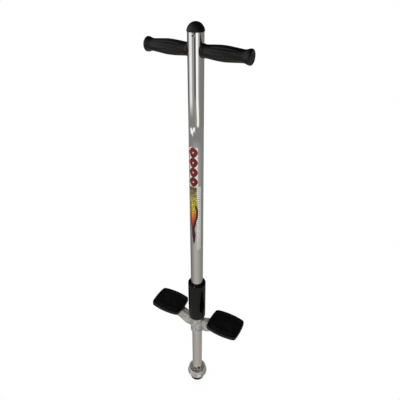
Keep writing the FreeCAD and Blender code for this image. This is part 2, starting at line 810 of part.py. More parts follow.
def make_arm(name, angle):
    """A folded sheet-steel arm, open underneath and deepest where it meets the collar."""
    solids = []
    for label, offset, plan in (
        ("outside", as_length(0), arm_plan()), ("inside", arm_sheet, arm_room_plan()),
    ):
        side = extruded(
            f"{name}_{label}_side", "XZ_Plane", arm_outline(offset), TALL, midplane=True)
        above = extruded(f"{name}_{label}_plan", "XY_Plane", plan, TALL)
        both = doc.addObject("Part::Common", f"{name}_{label}")
        both.Base = side
        both.Tool = above
        solids.append(both)
    collar_room = doc.addObject("Part::Cylinder", name + "_collar_room")
    bind(collar_room, Radius=collar_radius, Height=TALL)
    screw_holes = []
    for number, along in enumerate((-0.5, 0.5)):
        hole = doc.addObject("Part::Cylinder", f"{name}_screw_hole_{number}")
        bind(hole, Radius=pad_screw_radius + touch_gap, Height=PAST)
        place(hole, pad_centre + pad_screw_spacing * along, 0, pad_bottom - PAST / 2)
        screw_holes.append(hole)
    arm = cut(name, solids[0], solids[1], collar_room, *screw_holes)
    keep(name, copy_turned(name + "_placed", arm, angle))


def make_arm_welds():
    """Upright beads where the arms' sides meet the collar."""
    beads = []
    reach = math.sqrt(collar_radius.value ** 2 - arm_inner_half_width.value ** 2)
    for side_x in (-1, 1):
        for side_y in (-1, 1):
            bead = doc.addObject("Part::Cylinder", f"bead_{side_x + 1}{side_y + 1}")
            bind(bead, Radius=ARM_WELD_RADIUS,
                 Height=arm_inner_top - arm_inner_bottom - ARM_WELD_SETBACK * 2)
            place(bead, reach * side_x, arm_inner_half_width * side_y,
                  arm_inner_bottom + ARM_WELD_SETBACK)
            beads.append(bead)
    room = doc.addObject("Part::Cylinder", "weld_collar_room")
    bind(room, Radius=collar_radius, Height=TALL)
    arms = [finished["right_arm"], finished["left_arm"]]
    trimmed = [cut(bead.Name + "_trimmed", bead, room, *arms) for bead in beads]
    keep("arm_welds", group("arm_welds", *trimmed))


# ---- foot pads ----------------------------------------------------------------------------

def pad_slab(name, inset, bottom, top):
    """A slab with the pad's bowed outline, pulled in by inset, its upright corners rounded."""
    x = pad_half_length - inset
    y = pad_half_width - inset
    body = extruded(name, "XY_Plane", [
        (x, y, 0, y + pad_bow),
        (x, -y, x + pad_end_bow, 0),
        (-x, -y, 0, -(y + pad_bow)),
        (-x, y, -(x + pad_end_bow), 0),
    ], as_length(top) - bottom)
    doc.recompute()
    base = body.Tip
    corners = [
        f"Edge{number}" for number, edge in enumerate(base.Shape.Edges, 1)
        if edge.BoundBox.XLength + edge.BoundBox.YLength < 1e-3
    ]
    rounded = body.newObject("PartDesign::Fillet", name + "_corners")
    rounded.Base = (base, corners)
    bind(rounded, Radius=pad_corner_radius - inset * 0.4)
    place(body, 0, 0, bottom)
    return body


def make_pad(name, angle):
    """A rubber pad with two grooves round its border and a steel insert's pocket below."""
    slab = pad_slab(name + "_slab", 0, pad_bottom, pad_top)
    doc.recompute()
    base = slab.Tip
    top_edges = [
        f"Edge{number}" for number, edge in enumerate(base.Shape.Edges, 1)
        if edge.BoundBox.ZMin > (pad_top - pad_bottom).value - 0.01
    ]
    softened = slab.newObject("PartDesign::Fillet", name + "_top_edge")
    softened.Base = (base, top_edges)
    bind(softened, Radius=pad_edge_radius)
    tools = []
    for inset in PAD_GROOVE_INSETS:
        outer = pad_slab(
            f"{name}_groove_{inset}_outer", inset, pad_top - pad_groove_depth, pad_top + 1)
        inner = pad_slab(
            f"{name}_groove_{inset}_inner", inset + pad_groove_width.value,
            pad_top - pad_groove_depth, pad_top + 1)
        tools.append(cut(f"{name}_groove_{inset}", outer, inner))
    pocket = insert_block(name + "_pocket", touch_gap, pad_bottom, insert_thickness)
    tools.append(pocket)
    for number, along in enumerate((-0.5, 0.5)):
        room = doc.addObject("Part::Cylinder", f"{name}_screw_room_{number}")
        bind(room, Radius=pad_screw_radius + touch_gap,
             Height=insert_thickness + PAD_SCREW_PAST_INSERT + touch_gap)
        place(room, pad_screw_spacing * along, 0, pad_bottom)
        tools.append(room)
    pad = cut(name, slab, *tools)
    keep(name, set_out(name, pad, angle))


def set_out(name, thing, angle):
    """Carries a piece made on the axis out to one pad's place."""
    out = turned_to(angle).multVec(FreeCAD.Vector(1, 0, 0))
    placed = copy_turned(name + "_placed", thing, angle)
    place(placed, pad_centre * round(out.x), 0, 0)
    return placed


def insert_block(name, growth, bottom, height):
    """The insert plate's own shape, grown on each side by growth."""
    block = doc.addObject("Part::Box", name)
    half_length = insert_half_length + growth
    half_width = insert_half_width + growth
    bind(block, Length=half_length * 2, Width=half_width * 2, Height=height)
    place(block, -half_length, -half_width, bottom)
    return block


def make_insert(name, angle):
    """The steel plate moulded into the pad's underside, tapped for its two screws."""
    block = insert_block(name + "_block", as_length(0), pad_bottom, insert_thickness)
    holes = []
    for number, along in enumerate((-0.5, 0.5)):
        hole = doc.addObject("Part::Cylinder", f"{name}_hole_{number}")
        bind(hole, Radius=pad_screw_radius + touch_gap, Height=PAST)
        place(hole, pad_screw_spacing * along, 0, pad_bottom - PAST / 2)
        holes.append(hole)
    keep(name, set_out(name, cut(name, block, *holes), angle))


def make_pad_screws():
    """Pan-head screws driven up through the arms into the inserts."""
    seat = pad_bottom - arm_sheet
    head_bottom = seat - PAN_HEAD_HEIGHT
    head_radius = pad_screw_radius + PAN_HEAD_OVERHANG
    point = pad_bottom + insert_thickness + PAD_SCREW_PAST_INSERT
    screws = []
    for side in (-1, 1):
        for along in (-0.5, 0.5):
            screw = turned(f"pad_screw_{side + 1}_{int(along * 2) + 1}", [
                (0, head_bottom),
                (head_radius - PAN_HEAD_EDGE, head_bottom),
                (head_radius, head_bottom + PAN_HEAD_EDGE,
                 head_radius - PAN_HEAD_EDGE * CORNER, head_bottom + PAN_HEAD_EDGE * CORNER),
                (head_radius, seat),
                (pad_screw_radius, seat),
                (pad_screw_radius, point - PAD_SCREW_POINT),
                (pad_screw_radius - PAD_SCREW_POINT, point),
                (0, point),
            ])
            place(screw, pad_centre * side + pad_screw_spacing * along, 0, 0)
            screws.append(screw)
    keep("pad_screws", group("pad_screws", *screws))


# ---- foot ---------------------------------------------------------------------------------

def cup_floor():
    """The top of the bowl's floor, where the piston stands."""
    return tip_height + cup_wall + CUP_FLOOR_EXTRA


def make_foot_cup():
    """A spun steel bowl: the piston stands on its floor, well below its rim."""
    hole = TIP_STUD_RADIUS + touch_gap
    rim_inside = cup_rim_radius - cup_wall
    keep("foot_cup", turned("foot_cup_bowl", [
        (hole, tip_height),
        (cup_bottom_radius, tip_height),
        (cup_rim_radius, cup_rim_height, cup_belly_radius, cup_belly_height),
        (rim_inside, cup_rim_height, rim_inside + cup_wall / 2, cup_rim_height + cup_wall / 2),
        (cup_bottom_radius - cup_wall / 2, cup_floor(),
         cup_belly_radius - cup_wall, cup_belly_height),
        (hole, cup_floor()),
    ]))


def make_foot_weld():
    """The fillet of weld round the piston's foot."""
    inner = piston_radius + touch_gap
    keep("foot_weld", turned("foot_weld", bowed([
        (inner, cup_floor(), 0),
        (inner + FOOT_WELD_WIDTH, cup_floor(), 0),
        (inner, cup_floor() + FOOT_WELD_HEIGHT, -0.1),
    ])))


def make_tip():
    """The rubber tip, moulded round the disc of its stud."""
    stud_room = TIP_STUD_RADIUS + touch_gap
    disc_room = TIP_STUD_DISC + touch_gap
    keep("rubber_tip", turned("rubber_tip", [
        (0, 0),
        (tip_radius - tip_edge_radius, 0),
        (tip_radius, tip_edge_radius,
         tip_radius - tip_edge_radius * CORNER, tip_edge_radius * CORNER),
        (tip_radius, tip_height - TIP_CHAMFER),
        (tip_radius - TIP_CHAMFER, tip_height),
        (stud_room, tip_height),
        (stud_room, TIP_STUD_DISC_TOP + touch_gap),
        (disc_room, TIP_STUD_DISC_TOP + touch_gap),
        (disc_room, TIP_STUD_DISC_BOTTOM - touch_gap),
        (0, TIP_STUD_DISC_BOTTOM - touch_gap),
    ]))


def make_tip_stud():
    """The threaded stud whose disc is buried in the tip."""
    keep("tip_stud", turned("tip_stud", [
        (0, TIP_STUD_DISC_BOTTOM),
        (TIP_STUD_DISC, TIP_STUD_DISC_BOTTOM),
        (TIP_STUD_DISC, TIP_STUD_DISC_TOP),
        (TIP_STUD_RADIUS, TIP_STUD_DISC_TOP),
        (TIP_STUD_RADIUS, TIP_STUD_TOP - TIP_STUD_CHAMFER),
        (TIP_STUD_RADIUS - TIP_STUD_CHAMFER, TIP_STUD_TOP),
        (0, TIP_STUD_TOP),
    ]))


def make_foot_plug():
    """The steel plug in the piston's lower end: the stud screws into it, the bolt crosses it."""
    radius = piston_radius - piston_wall - touch_gap
    plug = turned("foot_plug_body", [
        (TIP_STUD_RADIUS + touch_gap, cup_floor()),
        (radius, cup_floor()),
        (radius, foot_plug_top),
        (0, foot_plug_top),
        (0, FOOT_PLUG_HOLE_TOP),
        (TIP_STUD_RADIUS + touch_gap, FOOT_PLUG_HOLE_TOP),
    ])
    bolt_hole = cross_rod(
        "foot_plug_bolt_hole", foot_bolt_radius + touch_gap, tube_radius, foot_bolt_height,
        FOOT_BOLT_ANGLE,
    )
    keep("foot_plug", cut("foot_plug", plug, bolt_hole))


def hexagon(name, height):
    """A hexagon prism standing on the XY plane."""
    prism = doc.addObject("Part::Prism", name)
    prism.Polygon = 6
    bind(prism, Circumradius=foot_bolt_head_flats / math.sqrt(3), Height=height)
    return prism


def lie_out(thing, angle, height, start):
    """Lays a piece so that its Z points outward in the direction angle, start from the axis."""
    lying = turned_to(angle).multiply(FreeCAD.Rotation(FreeCAD.Vector(1, 0, 0), 90))
    thing.Placement = FreeCAD.Placement(FreeCAD.Vector(), lying)
    out = turned_to(angle).multVec(FreeCAD.Vector(0, -1, 0))
    start = as_length(start)
    place(thing, start * out.x, start * out.y, height)
    return thing


def make_foot_bolt():
    """The cross bolt through the piston's foot with its nut and washers, its head at the front."""
    seat = piston_radius + FOOT_WASHER_THICKNESS
    far_end = seat + FOOT_NUT_HEIGHT + FOOT_BOLT_PAST_NUT
    head = lie_out(
        hexagon("foot_bolt_head", FOOT_BOLT_HEAD_HEIGHT), FOOT_BOLT_ANGLE, foot_bolt_height, seat)
    shank = doc.addObject("Part::Cylinder", "foot_bolt_shank")
    bind(shank, Radius=foot_bolt_radius, Height=seat + far_end)
    lie_out(shank, FOOT_BOLT_ANGLE, foot_bolt_height, -far_end)
    keep("foot_bolt", joined("foot_bolt_whole", head, shank))
    nut = lie_out(
        hexagon("foot_nut_blank", FOOT_NUT_HEIGHT), FOOT_BOLT_ANGLE + 180, foot_bolt_height, seat)
    hole = doc.addObject("Part::Cylinder", "foot_nut_hole")
    bind(hole, Radius=foot_bolt_radius + touch_gap, Height=PAST)
    lie_out(hole, FOOT_BOLT_ANGLE + 180, foot_bolt_height, seat - FOOT_NUT_HEIGHT)
    keep("foot_nut", cut("foot_nut", nut, hole))
    washers = []
    for side, angle in (("head", FOOT_BOLT_ANGLE), ("nut", FOOT_BOLT_ANGLE + 180)):
        washer = ring(
            f"{side}_washer", foot_bolt_radius + touch_gap, FOOT_WASHER_RADIUS,
            0, FOOT_WASHER_THICKNESS)
        washers.append(lie_out(washer, angle, foot_bolt_height, piston_radius))
    keep("foot_washers", group("foot_washers", *washers))


# ---- decal --------------------------------------------------------------------------------

def make_decal():
    """A thin printed film wrapped on the tube's front."""
    body = ring("decal_roll", tube_radius, tube_radius + decal_thickness, decal_bottom, decal_top)
    body.Tip.Angle = decal_half_angle.value * 2
    body.Tip.setExpression("Angle", (decal_half_angle * 2).formula)
    body.Placement = FreeCAD.Placement(
        FreeCAD.Vector(), turned_to(DECAL_ANGLE - 90 - decal_half_angle.value))
    keep("decal", body)


# ---- build --------------------------------------------------------------------------------

make_main_tube()
make_top_cap()
make_cap_rivets()
make_handlebar()
make_handlebar_welds()
make_grip("right_grip", 0)
make_grip("left_grip", 180)
make_spring_seat()
make_spring()
make_piston()
make_guide_plug()
make_spring_washer()
make_cross_pin()
make_pin_clips()
make_sleeve()
make_sleeve_ring()
make_sleeve_screws()
make_stop_rings()
make_collar()
make_bushing()
make_arm("right_arm", 0)
make_arm("left_arm", 180)
make_arm_welds()
for side_name, side_angle in (("right", 0), ("left", 180)):
    make_pad(side_name + "_pad", side_angle)
    make_insert(side_name + "_pad_insert", side_angle)
make_pad_screws()
make_foot_cup()
make_foot_weld()
make_tip()
make_tip_stud()
make_foot_plug()
make_foot_bolt()
make_decal()
doc.recompute()

for thing in doc.Objects:
    if "Invalid" in thing.State or "Error" in thing.State:
        raise RuntimeError(f"{thing.Name} did not rebuild: {thing.State}")
for node, thing in finished.items():
    if thing.Shape.isNull() or not thing.Shape.isValid():
        raise RuntimeError(f"{node} has no valid shape")

os.makedirs("parts", exist_ok=True)
for node, thing in finished.items():
    thing.Shape.exportStep(f"parts/{node}.step")
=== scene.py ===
import json
import math
import bmesh
import bpy
from mathutils import Matrix, Vector, noise


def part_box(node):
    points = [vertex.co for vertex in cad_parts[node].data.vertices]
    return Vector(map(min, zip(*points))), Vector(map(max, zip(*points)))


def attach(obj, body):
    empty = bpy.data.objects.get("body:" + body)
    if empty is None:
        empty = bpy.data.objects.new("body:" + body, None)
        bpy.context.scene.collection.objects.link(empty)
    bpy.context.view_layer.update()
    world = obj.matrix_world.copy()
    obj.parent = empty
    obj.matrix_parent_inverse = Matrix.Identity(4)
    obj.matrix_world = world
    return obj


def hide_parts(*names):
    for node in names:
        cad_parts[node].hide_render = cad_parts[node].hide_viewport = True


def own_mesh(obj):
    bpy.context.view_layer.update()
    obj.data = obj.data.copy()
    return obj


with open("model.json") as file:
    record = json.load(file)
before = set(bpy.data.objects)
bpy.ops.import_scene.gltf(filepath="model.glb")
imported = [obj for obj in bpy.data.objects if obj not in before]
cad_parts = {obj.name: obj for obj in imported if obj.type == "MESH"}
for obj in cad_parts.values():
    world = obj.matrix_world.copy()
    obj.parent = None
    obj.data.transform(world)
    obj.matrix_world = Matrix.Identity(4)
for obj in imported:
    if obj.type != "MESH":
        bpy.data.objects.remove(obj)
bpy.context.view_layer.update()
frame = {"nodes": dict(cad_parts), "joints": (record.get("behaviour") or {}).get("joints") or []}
nodes = frame["nodes"]

# The looks of the pogo stick.  Metres, +Z up, the handlebar along X, the front towards -Y.
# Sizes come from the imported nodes' boxes; a size of a look's own is a number of millimetres * MM.

MM = 0.001
SNUG = 0.03 * MM             # room between a look and the piece it sits on


# ---- the sizes everything follows ----------------------------------------------------------

def low(node):
    """A node's lowest corner at rest."""
    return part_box(node)[0]


def high(node):
    """A node's highest corner at rest."""
    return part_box(node)[1]


def middle(node):
    """The middle of a node's box at rest."""
    return (low(node) + high(node)) / 2


tube_radius = high("main_tube").x
tube_top = high("main_tube").z
bar_height = middle("handlebar").z
bar_radius = high("handlebar").z - bar_height
sleeve_low, sleeve_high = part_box("sleeve")
tip_high = high("rubber_tip")
cup_low, cup_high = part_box("foot_cup")


# ---- numbers that flow through a node tree -------------------------------------------------

class Field:
    """A number that varies over a surface; arithmetic on it adds Math nodes to its tree."""

    def __init__(self, tree, socket):
        self.tree = tree
        self.socket = socket

    def math(self, operation, *others):
        node = self.tree.nodes.new("ShaderNodeMath")
        node.operation = operation
        for entry, item in zip(node.inputs, (self,) + others):
            feed(self.tree, entry, item)
        return Field(self.tree, node.outputs[0])

    def __add__(self, other):
        return self.math("ADD", other)

    def __sub__(self, other):
        return self.math("SUBTRACT", other)

    def __mul__(self, other):
        return self.math("MULTIPLY", other)

    def __truediv__(self, other):
        return self.math("DIVIDE", other)

    def __radd__(self, other):
        return self + other

    def __rsub__(self, other):
        return (self * -1) + other

    def __neg__(self):
        return self * -1

    def ease(self, start, end, out_start=0.0, out_end=1.0):
        """Goes smoothly from out_start to out_end as this goes from start to end."""
        node = self.tree.nodes.new("ShaderNodeMapRange")
        node.interpolation_type = "SMOOTHSTEP"
        for name, item in (("Value", self), ("From Min", start), ("From Max", end),
                           ("To Min", out_start), ("To Max", out_end)):
            feed(self.tree, node.inputs[name], item)
        return Field(self.tree, node.outputs[0])

    def window(self, start, end, soft):
        """1 between start and end, 0 outside, with soft borders."""
        return self.ease(start - soft, start + soft) * self.ease(end - soft, end + soft, 1.0, 0.0)


def feed(tree, entry, item):
    """Links a Field, a socket or a plain value into a node's input."""
    if isinstance(item, Field):
        item = item.socket
    if isinstance(item, bpy.types.NodeSocket):
        tree.links.new(item, entry)
    else:
        entry.default_value = item


def add_node(tree, kind, settings=None, **inputs):
    """A node with its settings and its inputs (underscores stand for spaces) filled in."""
    node = tree.nodes.new(kind)
    for name, value in (settings or {}).items():
        setattr(node, name, value)
    for name, item in inputs.items():
        feed(tree, node.inputs[name.replace("_", " ")], item)
    return node


def axes(tree, vector):
    """A vector's three parts, as Fields."""
    parts = add_node(tree, "ShaderNodeSeparateXYZ", Vector=vector)
    return [Field(tree, parts.outputs[letter]) for letter in "XYZ"]


def grey(level):
    """A linear grey that shows as the display level 0..255."""
    share = level / 255
    return share / 12.92 if share <= 0.04045 else ((share + 0.055) / 1.055) ** 2.4


def colour(red, green, blue):
    """A linear colour that shows as display levels 0..255."""
    return (grey(red), grey(green), grey(blue), 1.0)


def ramp(tree, factor, stops, interpolation="LINEAR"):
    """A colour ramp's output; stops are (place 0..1, colour)."""
    node = add_node(tree, "ShaderNodeValToRGB", Fac=factor)
    node.color_ramp.interpolation = interpolation
    bands = node.color_ramp.elements
    while len(bands) < len(stops):
        bands.new(0.5)
    for band, (place, shade) in zip(bands, stops):
        band.position = place
        band.color = shade if hasattr(shade, "__len__") else (shade, shade, shade, 1)
    return node.outputs["Color"]


def blend_colours(tree, factor, first, second, mode="MIX"):
    """Goes from the first colour to the second as the factor goes from 0 to 1."""
    node = tree.nodes.new("ShaderNodeMix")
    node.data_type = "RGBA"
    node.blend_type = mode
    feed(tree, node.inputs[0], factor)
    feed(tree, node.inputs[6], first)
    feed(tree, node.inputs[7], second)
    return node.outputs[2]


# ---- camera, floor and studio --------------------------------------------------------------

CAMERA_AZIMUTH = math.radians(29.27)     # where the camera stands, from the front towards +X
CAMERA_AIM = math.radians(28.66)         # where it looks, counted the same way
CAMERA_PITCH = math.radians(33.63)       # how far it looks down
CAMERA_ROLL = math.radians(0.067)
CAMERA_DISTANCE = 0.8294                 # from the stick's axis, along the floor
CAMERA_HEIGHT = 1.3007
CAMERA_LENS = 35.4
CAMERA_SENSOR = 36
WHITE = 254.6                            # the display level of the room and the floor


def make_camera():
    data = bpy.data.cameras.new("camera")
    data.lens = CAMERA_LENS
    data.sensor_width = CAMERA_SENSOR
    camera = bpy.data.objects.new("camera", data)
    bpy.context.collection.objects.link(camera)
    turned = Matrix.Rotation(CAMERA_AIM, 4, "Z")
    tilted = Matrix.Rotation(math.pi / 2 - CAMERA_PITCH, 4, "X")
    place = Vector((
        CAMERA_DISTANCE * math.sin(CAMERA_AZIMUTH),
        -CAMERA_DISTANCE * math.cos(CAMERA_AZIMUTH),
        CAMERA_HEIGHT,
    ))
    camera.matrix_world = (Matrix.Translation(place) @ turned @ tilted
                           @ Matrix.Rotation(CAMERA_ROLL, 4, "Z"))
    bpy.context.scene.camera = camera


def make_floor():
    """A plain white floor that only the camera sees, with a faint painted contact shadow where the
    tip stands.
    """
    bpy.ops.mesh.primitive_circle_add(vertices=64, radius=40, fill_type="NGON")
    floor = bpy.context.object
    floor.name = "floor"
    material = bpy.data.materials.new("floor")
    material.use_nodes = True
    tree = material.node_tree
    tree.nodes.clear()
    # painted contact shadow: the floor's glow dims where ambient occlusion finds the stick close by
    contact_shadow = add_node(tree, "ShaderNodeAmbientOcclusion", {"samples": 8}, Distance=0.05)
    shade = Field(tree, contact_shadow.outputs["AO"]).ease(0.0, 1.0, grey(249), grey(WHITE))
    glow = add_node(tree, "ShaderNodeEmission", Strength=shade)
    out = add_node(tree, "ShaderNodeOutputMaterial")
    tree.links.new(glow.outputs[0], out.inputs["Surface"])
    floor.data.materials.append(material)
    for ray in ("visible_diffuse", "visible_glossy", "visible_transmission", "visible_shadow"):
        setattr(floor, ray, False)


# What polished metal mirrors, by azimuth round the stick: 0 is back towards the camera and
# positive is to the camera's right.  Above the floor's edge two soft boxes stand before plain
# walls; below it there is only the floor's glow.  Levels are display levels.
LEFT_BOX = 239
RIGHT_BOX = 254
MIDDLE_WALL = 145
RIGHT_WALL = 122
LEFT_WALL = 90
FLOOR_FRONT = 171
FLOOR_RIGHT = 130
FLOOR_LEFT = 108
BACK = 86
FLOOR_TINT = (1.0, 0.985, 0.90, 1.0)


def shade_of(level):
    """A plain grey of a display level, as a colour."""
    return (grey(level),) * 3 + (1,)


def over(share, first, second):
    """Goes from the first number or Field to the second as the share goes from 0 to 1."""
    return first + (second - first) * share


def boxes_on_walls(azimuth):
    """The level all round: walls that darken to the back, and a soft box on each side."""
    left = azimuth.ease(-135, -95, grey(LEFT_WALL), grey(MIDDLE_WALL))
    walls = over(azimuth.ease(20, 80), left, grey(RIGHT_WALL))
    walls = over(azimuth.math("ABSOLUTE").ease(135, 180), walls, grey(BACK))
    left_box = azimuth.ease(-110, -88) * azimuth.ease(-46, -64)
    right_box = azimuth.ease(-8, 7) * azimuth.ease(45, 19)
    lit = over(left_box, walls, grey(LEFT_BOX))
    return over(right_box, lit, grey(RIGHT_BOX))


def floor_glow(azimuth):
    """The floor mirrored low down: brightest in front, dim at the back."""
    left = azimuth.ease(-140, -10, grey(FLOOR_LEFT), grey(FLOOR_FRONT))
    sides = over(azimuth.ease(-15, 105), left, grey(FLOOR_RIGHT))
    return over(azimuth.math("ABSOLUTE").ease(135, 180), sides, grey(BACK))


def soft_boxes(tree, azimuth, elevation):
    """The soft boxes above the floor's edge, with the dark gap and the floor's far side below."""
    # lower down, the right box stands a little further round
    lean = elevation.ease(-18.5, -22.5, 0, 13) * azimuth.ease(-30, -14) * azimuth.ease(60, 30)
    boxes = boxes_on_walls(azimuth - lean)
    gap = azimuth.window(-19, -2, 1.5) * elevation.ease(-20.2, -18.2)
    boxes = blend_colours(tree, gap * 0.97, boxes, shade_of(16))
    # the left box ends higher than the right one, and more softly
    edge = azimuth.ease(-30, -2, -20.6, -23.1)
    fade = azimuth.ease(-30, -2, 1.0, 0.0) * 1.5 + 0.15
    lit = ((elevation - edge) / fade).ease(-1.0, 1.0)
    boxes = blend_colours(tree, lit, shade_of(128), boxes)
    warm = elevation.ease(-16, -23) * 0.6
    boxes = blend_colours(tree, warm, boxes, FLOOR_TINT, "MULTIPLY")
    shine = low_reflector(azimuth, elevation)
    return blend_colours(tree, shine, boxes, shade_of(255))


def low_reflector(azimuth, elevation):
    """1 in a small reflector low on the left, notched on top and narrowing downwards."""
    notch = (azimuth + 66).math("ABSOLUTE").ease(11, 2)
    top = notch * -0.16 - 23.22
    left = elevation.ease(-24.1, -23.4, -84, -99)
    right = elevation.ease(-24.1, -23.5, -58, -12)
    sides = (azimuth - left).ease(-3, 3) * (right - azimuth).ease(-3, 3)
    return sides * (top - elevation).ease(-0.05, 0.05) * elevation.ease(-24.15, -24.05)


def lit_floor(tree, azimuth, elevation):
    """The floor's glow, evener and brighter right under the stick."""
    glow = over(elevation.ease(-44, -54) * 0.45, floor_glow(azimuth), grey(168))
    glow = over(elevation.ease(-61, -70), glow, grey(212))
    return blend_colours(tree, 1.0, glow, FLOOR_TINT, "MULTIPLY")


def upper_room(tree, azimuth, elevation):
    """The room above eye level: lit on the camera's side, dark behind."""
    left_wall = azimuth.window(-135, -45, 30) * 0.8 + 1
    front = elevation.ease(20, 80, grey(166), grey(52)) * left_wall
    rear = elevation.ease(-5, 60, grey(30), grey(26))
    return blend_colours(tree, azimuth.window(-140, 20, 30), rear, front)


def make_studio():
    """A white room for the camera, even light for matt surfaces, soft boxes for shiny ones."""
    world = bpy.data.worlds.new("studio")
    bpy.context.scene.world = world
    world.use_nodes = True
    world.cycles.sampling_method = "NONE"
    tree = world.node_tree
    tree.nodes.clear()
    way = add_node(tree, "ShaderNodeTexCoord").outputs["Generated"]
    turned = add_node(tree, "ShaderNodeVectorRotate", {"rotation_type": "Z_AXIS"},
                      Vector=way, Angle=-CAMERA_AZIMUTH)
    right, away, up = axes(tree, turned.outputs[0])
    azimuth = right.math("ARCTAN2", -away) * (180 / math.pi)
    elevation = up.math("ARCSINE") * (180 / math.pi)

    lower = blend_colours(tree, elevation.ease(-27.0, -24.5),
                          lit_floor(tree, azimuth, elevation),
                          soft_boxes(tree, azimuth, elevation))
    shiny = blend_colours(tree, elevation.ease(-7, 6), lower,
                          upper_room(tree, azimuth, elevation))
    sides = azimuth.math("ABSOLUTE").ease(40, 150, 1.25, 0.7)
    matt = elevation.ease(-60, 80, 0.45, 0.85) * sides
    rays = add_node(tree, "ShaderNodeLightPath").outputs
    seen = blend_colours(tree, rays["Is Glossy Ray"], matt, shiny)
    seen = blend_colours(tree, rays["Is Camera Ray"], seen, shade_of(WHITE))
    sky = add_node(tree, "ShaderNodeBackground", Color=seen)
    out = add_node(tree, "ShaderNodeOutputWorld")
    tree.links.new(sky.outputs[0], out.inputs["Surface"])


def make_light(name, from_camera, elevation, distance, size, power):
    """A square soft light that faces the middle of the stick and isn't mirrored in it.

    from_camera is how far round it stands from the camera, in degrees towards +X.
    """
    data = bpy.data.lights.new(name, "AREA")
    data.size = size
    data.energy = power
    light = bpy.data.objects.new(name, data)
    light.visible_glossy = False
    bpy.context.collection.objects.link(light)
    turn = CAMERA_AZIMUTH + math.radians(from_camera)
    rise = math.radians(elevation)
    way = Vector((math.sin(turn) * math.cos(rise), -math.cos(turn) * math.cos(rise),
                  math.sin(rise)))
    light.location = way * distance + Vector((0, 0, tube_top / 2))
    light.rotation_euler = way.to_track_quat("Z", "Y").to_euler()


# ---- mesh helpers --------------------------------------------------------------------------

def rounded(corners):
    """An outline with rounded corners; each corner is (x, y) or (x, y, radius)."""
    steps = 5
    outline = []
    count = len(corners)
    for number, corner in enumerate(corners):
        here = Vector(corner[:2])
        if len(corner) == 2:
            outline.append(here)
            continue
        before = (Vector(corners[number - 1][:2]) - here)
        after = (Vector(corners[(number + 1) % count][:2]) - here)
        half = before.angle(after) / 2
        reach = min(corner[2] / math.tan(half), before.length * 0.49, after.length * 0.49)
        radius = reach * math.tan(half)
        centre = here + (before.normalized() + after.normalized()).normalized() * (
            radius / math.sin(half))
        start = here + before.normalized() * reach - centre
        end = here + after.normalized() * reach - centre
        sweep = start.angle(end)
        for step in range(steps + 1):
            share = step / steps
            if sweep < 1e-6:
                outline.append(centre + start)
                continue
            spoke = start * math.sin(sweep * (1 - share)) + end * math.sin(sweep * share)
            outline.append(centre + spoke / math.sin(sweep))
    return outline


def stand_in(node, mesh_tools, material, body="frame", sharp=35):
    """Turns bmesh work into a smooth-shaded look for a CAD node, riding on its body."""
    bmesh.ops.remove_doubles(mesh_tools, verts=mesh_tools.verts, dist=1e-7)
    bmesh.ops.dissolve_degenerate(mesh_tools, dist=1e-7, edges=mesh_tools.edges)
    bmesh.ops.recalc_face_normals(mesh_tools, faces=mesh_tools.faces)
    name = f"{node}_look"
    mesh = bpy.data.meshes.new(name)
    mesh_tools.to_mesh(mesh)
    mesh_tools.free()
    mesh.shade_smooth()
    mesh.set_sharp_from_angle(angle=math.radians(sharp))
    mesh.materials.append(material)
    piece = bpy.data.objects.new(name, mesh)
    bpy.context.collection.objects.link(piece)
    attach(piece, body)
    # Blender numbers a name that is in use, and the pack's own materials use these
    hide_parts(node)
    return piece


def skin(mesh_tools, rings, closed_along=False):
    """Joins rings of points with quads; closed_along joins the last ring to the first."""
    rows = [[mesh_tools.verts.new(point) for point in ring] for ring in rings]
    following = rows[1:] + rows[:1] if closed_along else rows[1:]
    for row, after in zip(rows, following):
        count = len(row)
        for spot in range(count):
            corners = [row[spot], row[(spot + 1) % count],
                       after[(spot + 1) % count], after[spot]]
            mesh_tools.faces.new(corners)
    return rows


def lathe(mesh_tools, outline, around, place=None, ripple=None):
    """Spins a closed outline of (radius, height) about Z.

    ripple(radius, height, turn) gives a radius that varies round the piece; place moves it all.
    """
    place = place or Matrix.Identity(4)
    rings = []
    for radius, height in outline:
        ring = []
        for spot in range(around):
            turn = 2 * math.pi * spot / around
            reach = ripple(radius, height, turn) if ripple else radius
            ring.append(place @ Vector((reach * math.cos(turn), reach * math.sin(turn), height)))
        rings.append(ring)
    skin(mesh_tools, rings, closed_along=True)


def turned_piece(node, corners, material, around, body="frame", ripple=None):
    """A lathed look with rounded corners."""
    tools = bmesh.new()
    lathe(tools, rounded(corners), around, ripple=ripple)
    stand_in(node, tools, material, body)


# ---- materials -----------------------------------------------------------------------------

# In each finish, noise and cells make patterns of 0..1, ease(start, end) cuts a band out of a
# pattern, vary mixes a colour in by a pattern and a share, and bump makes a relief of a depth.

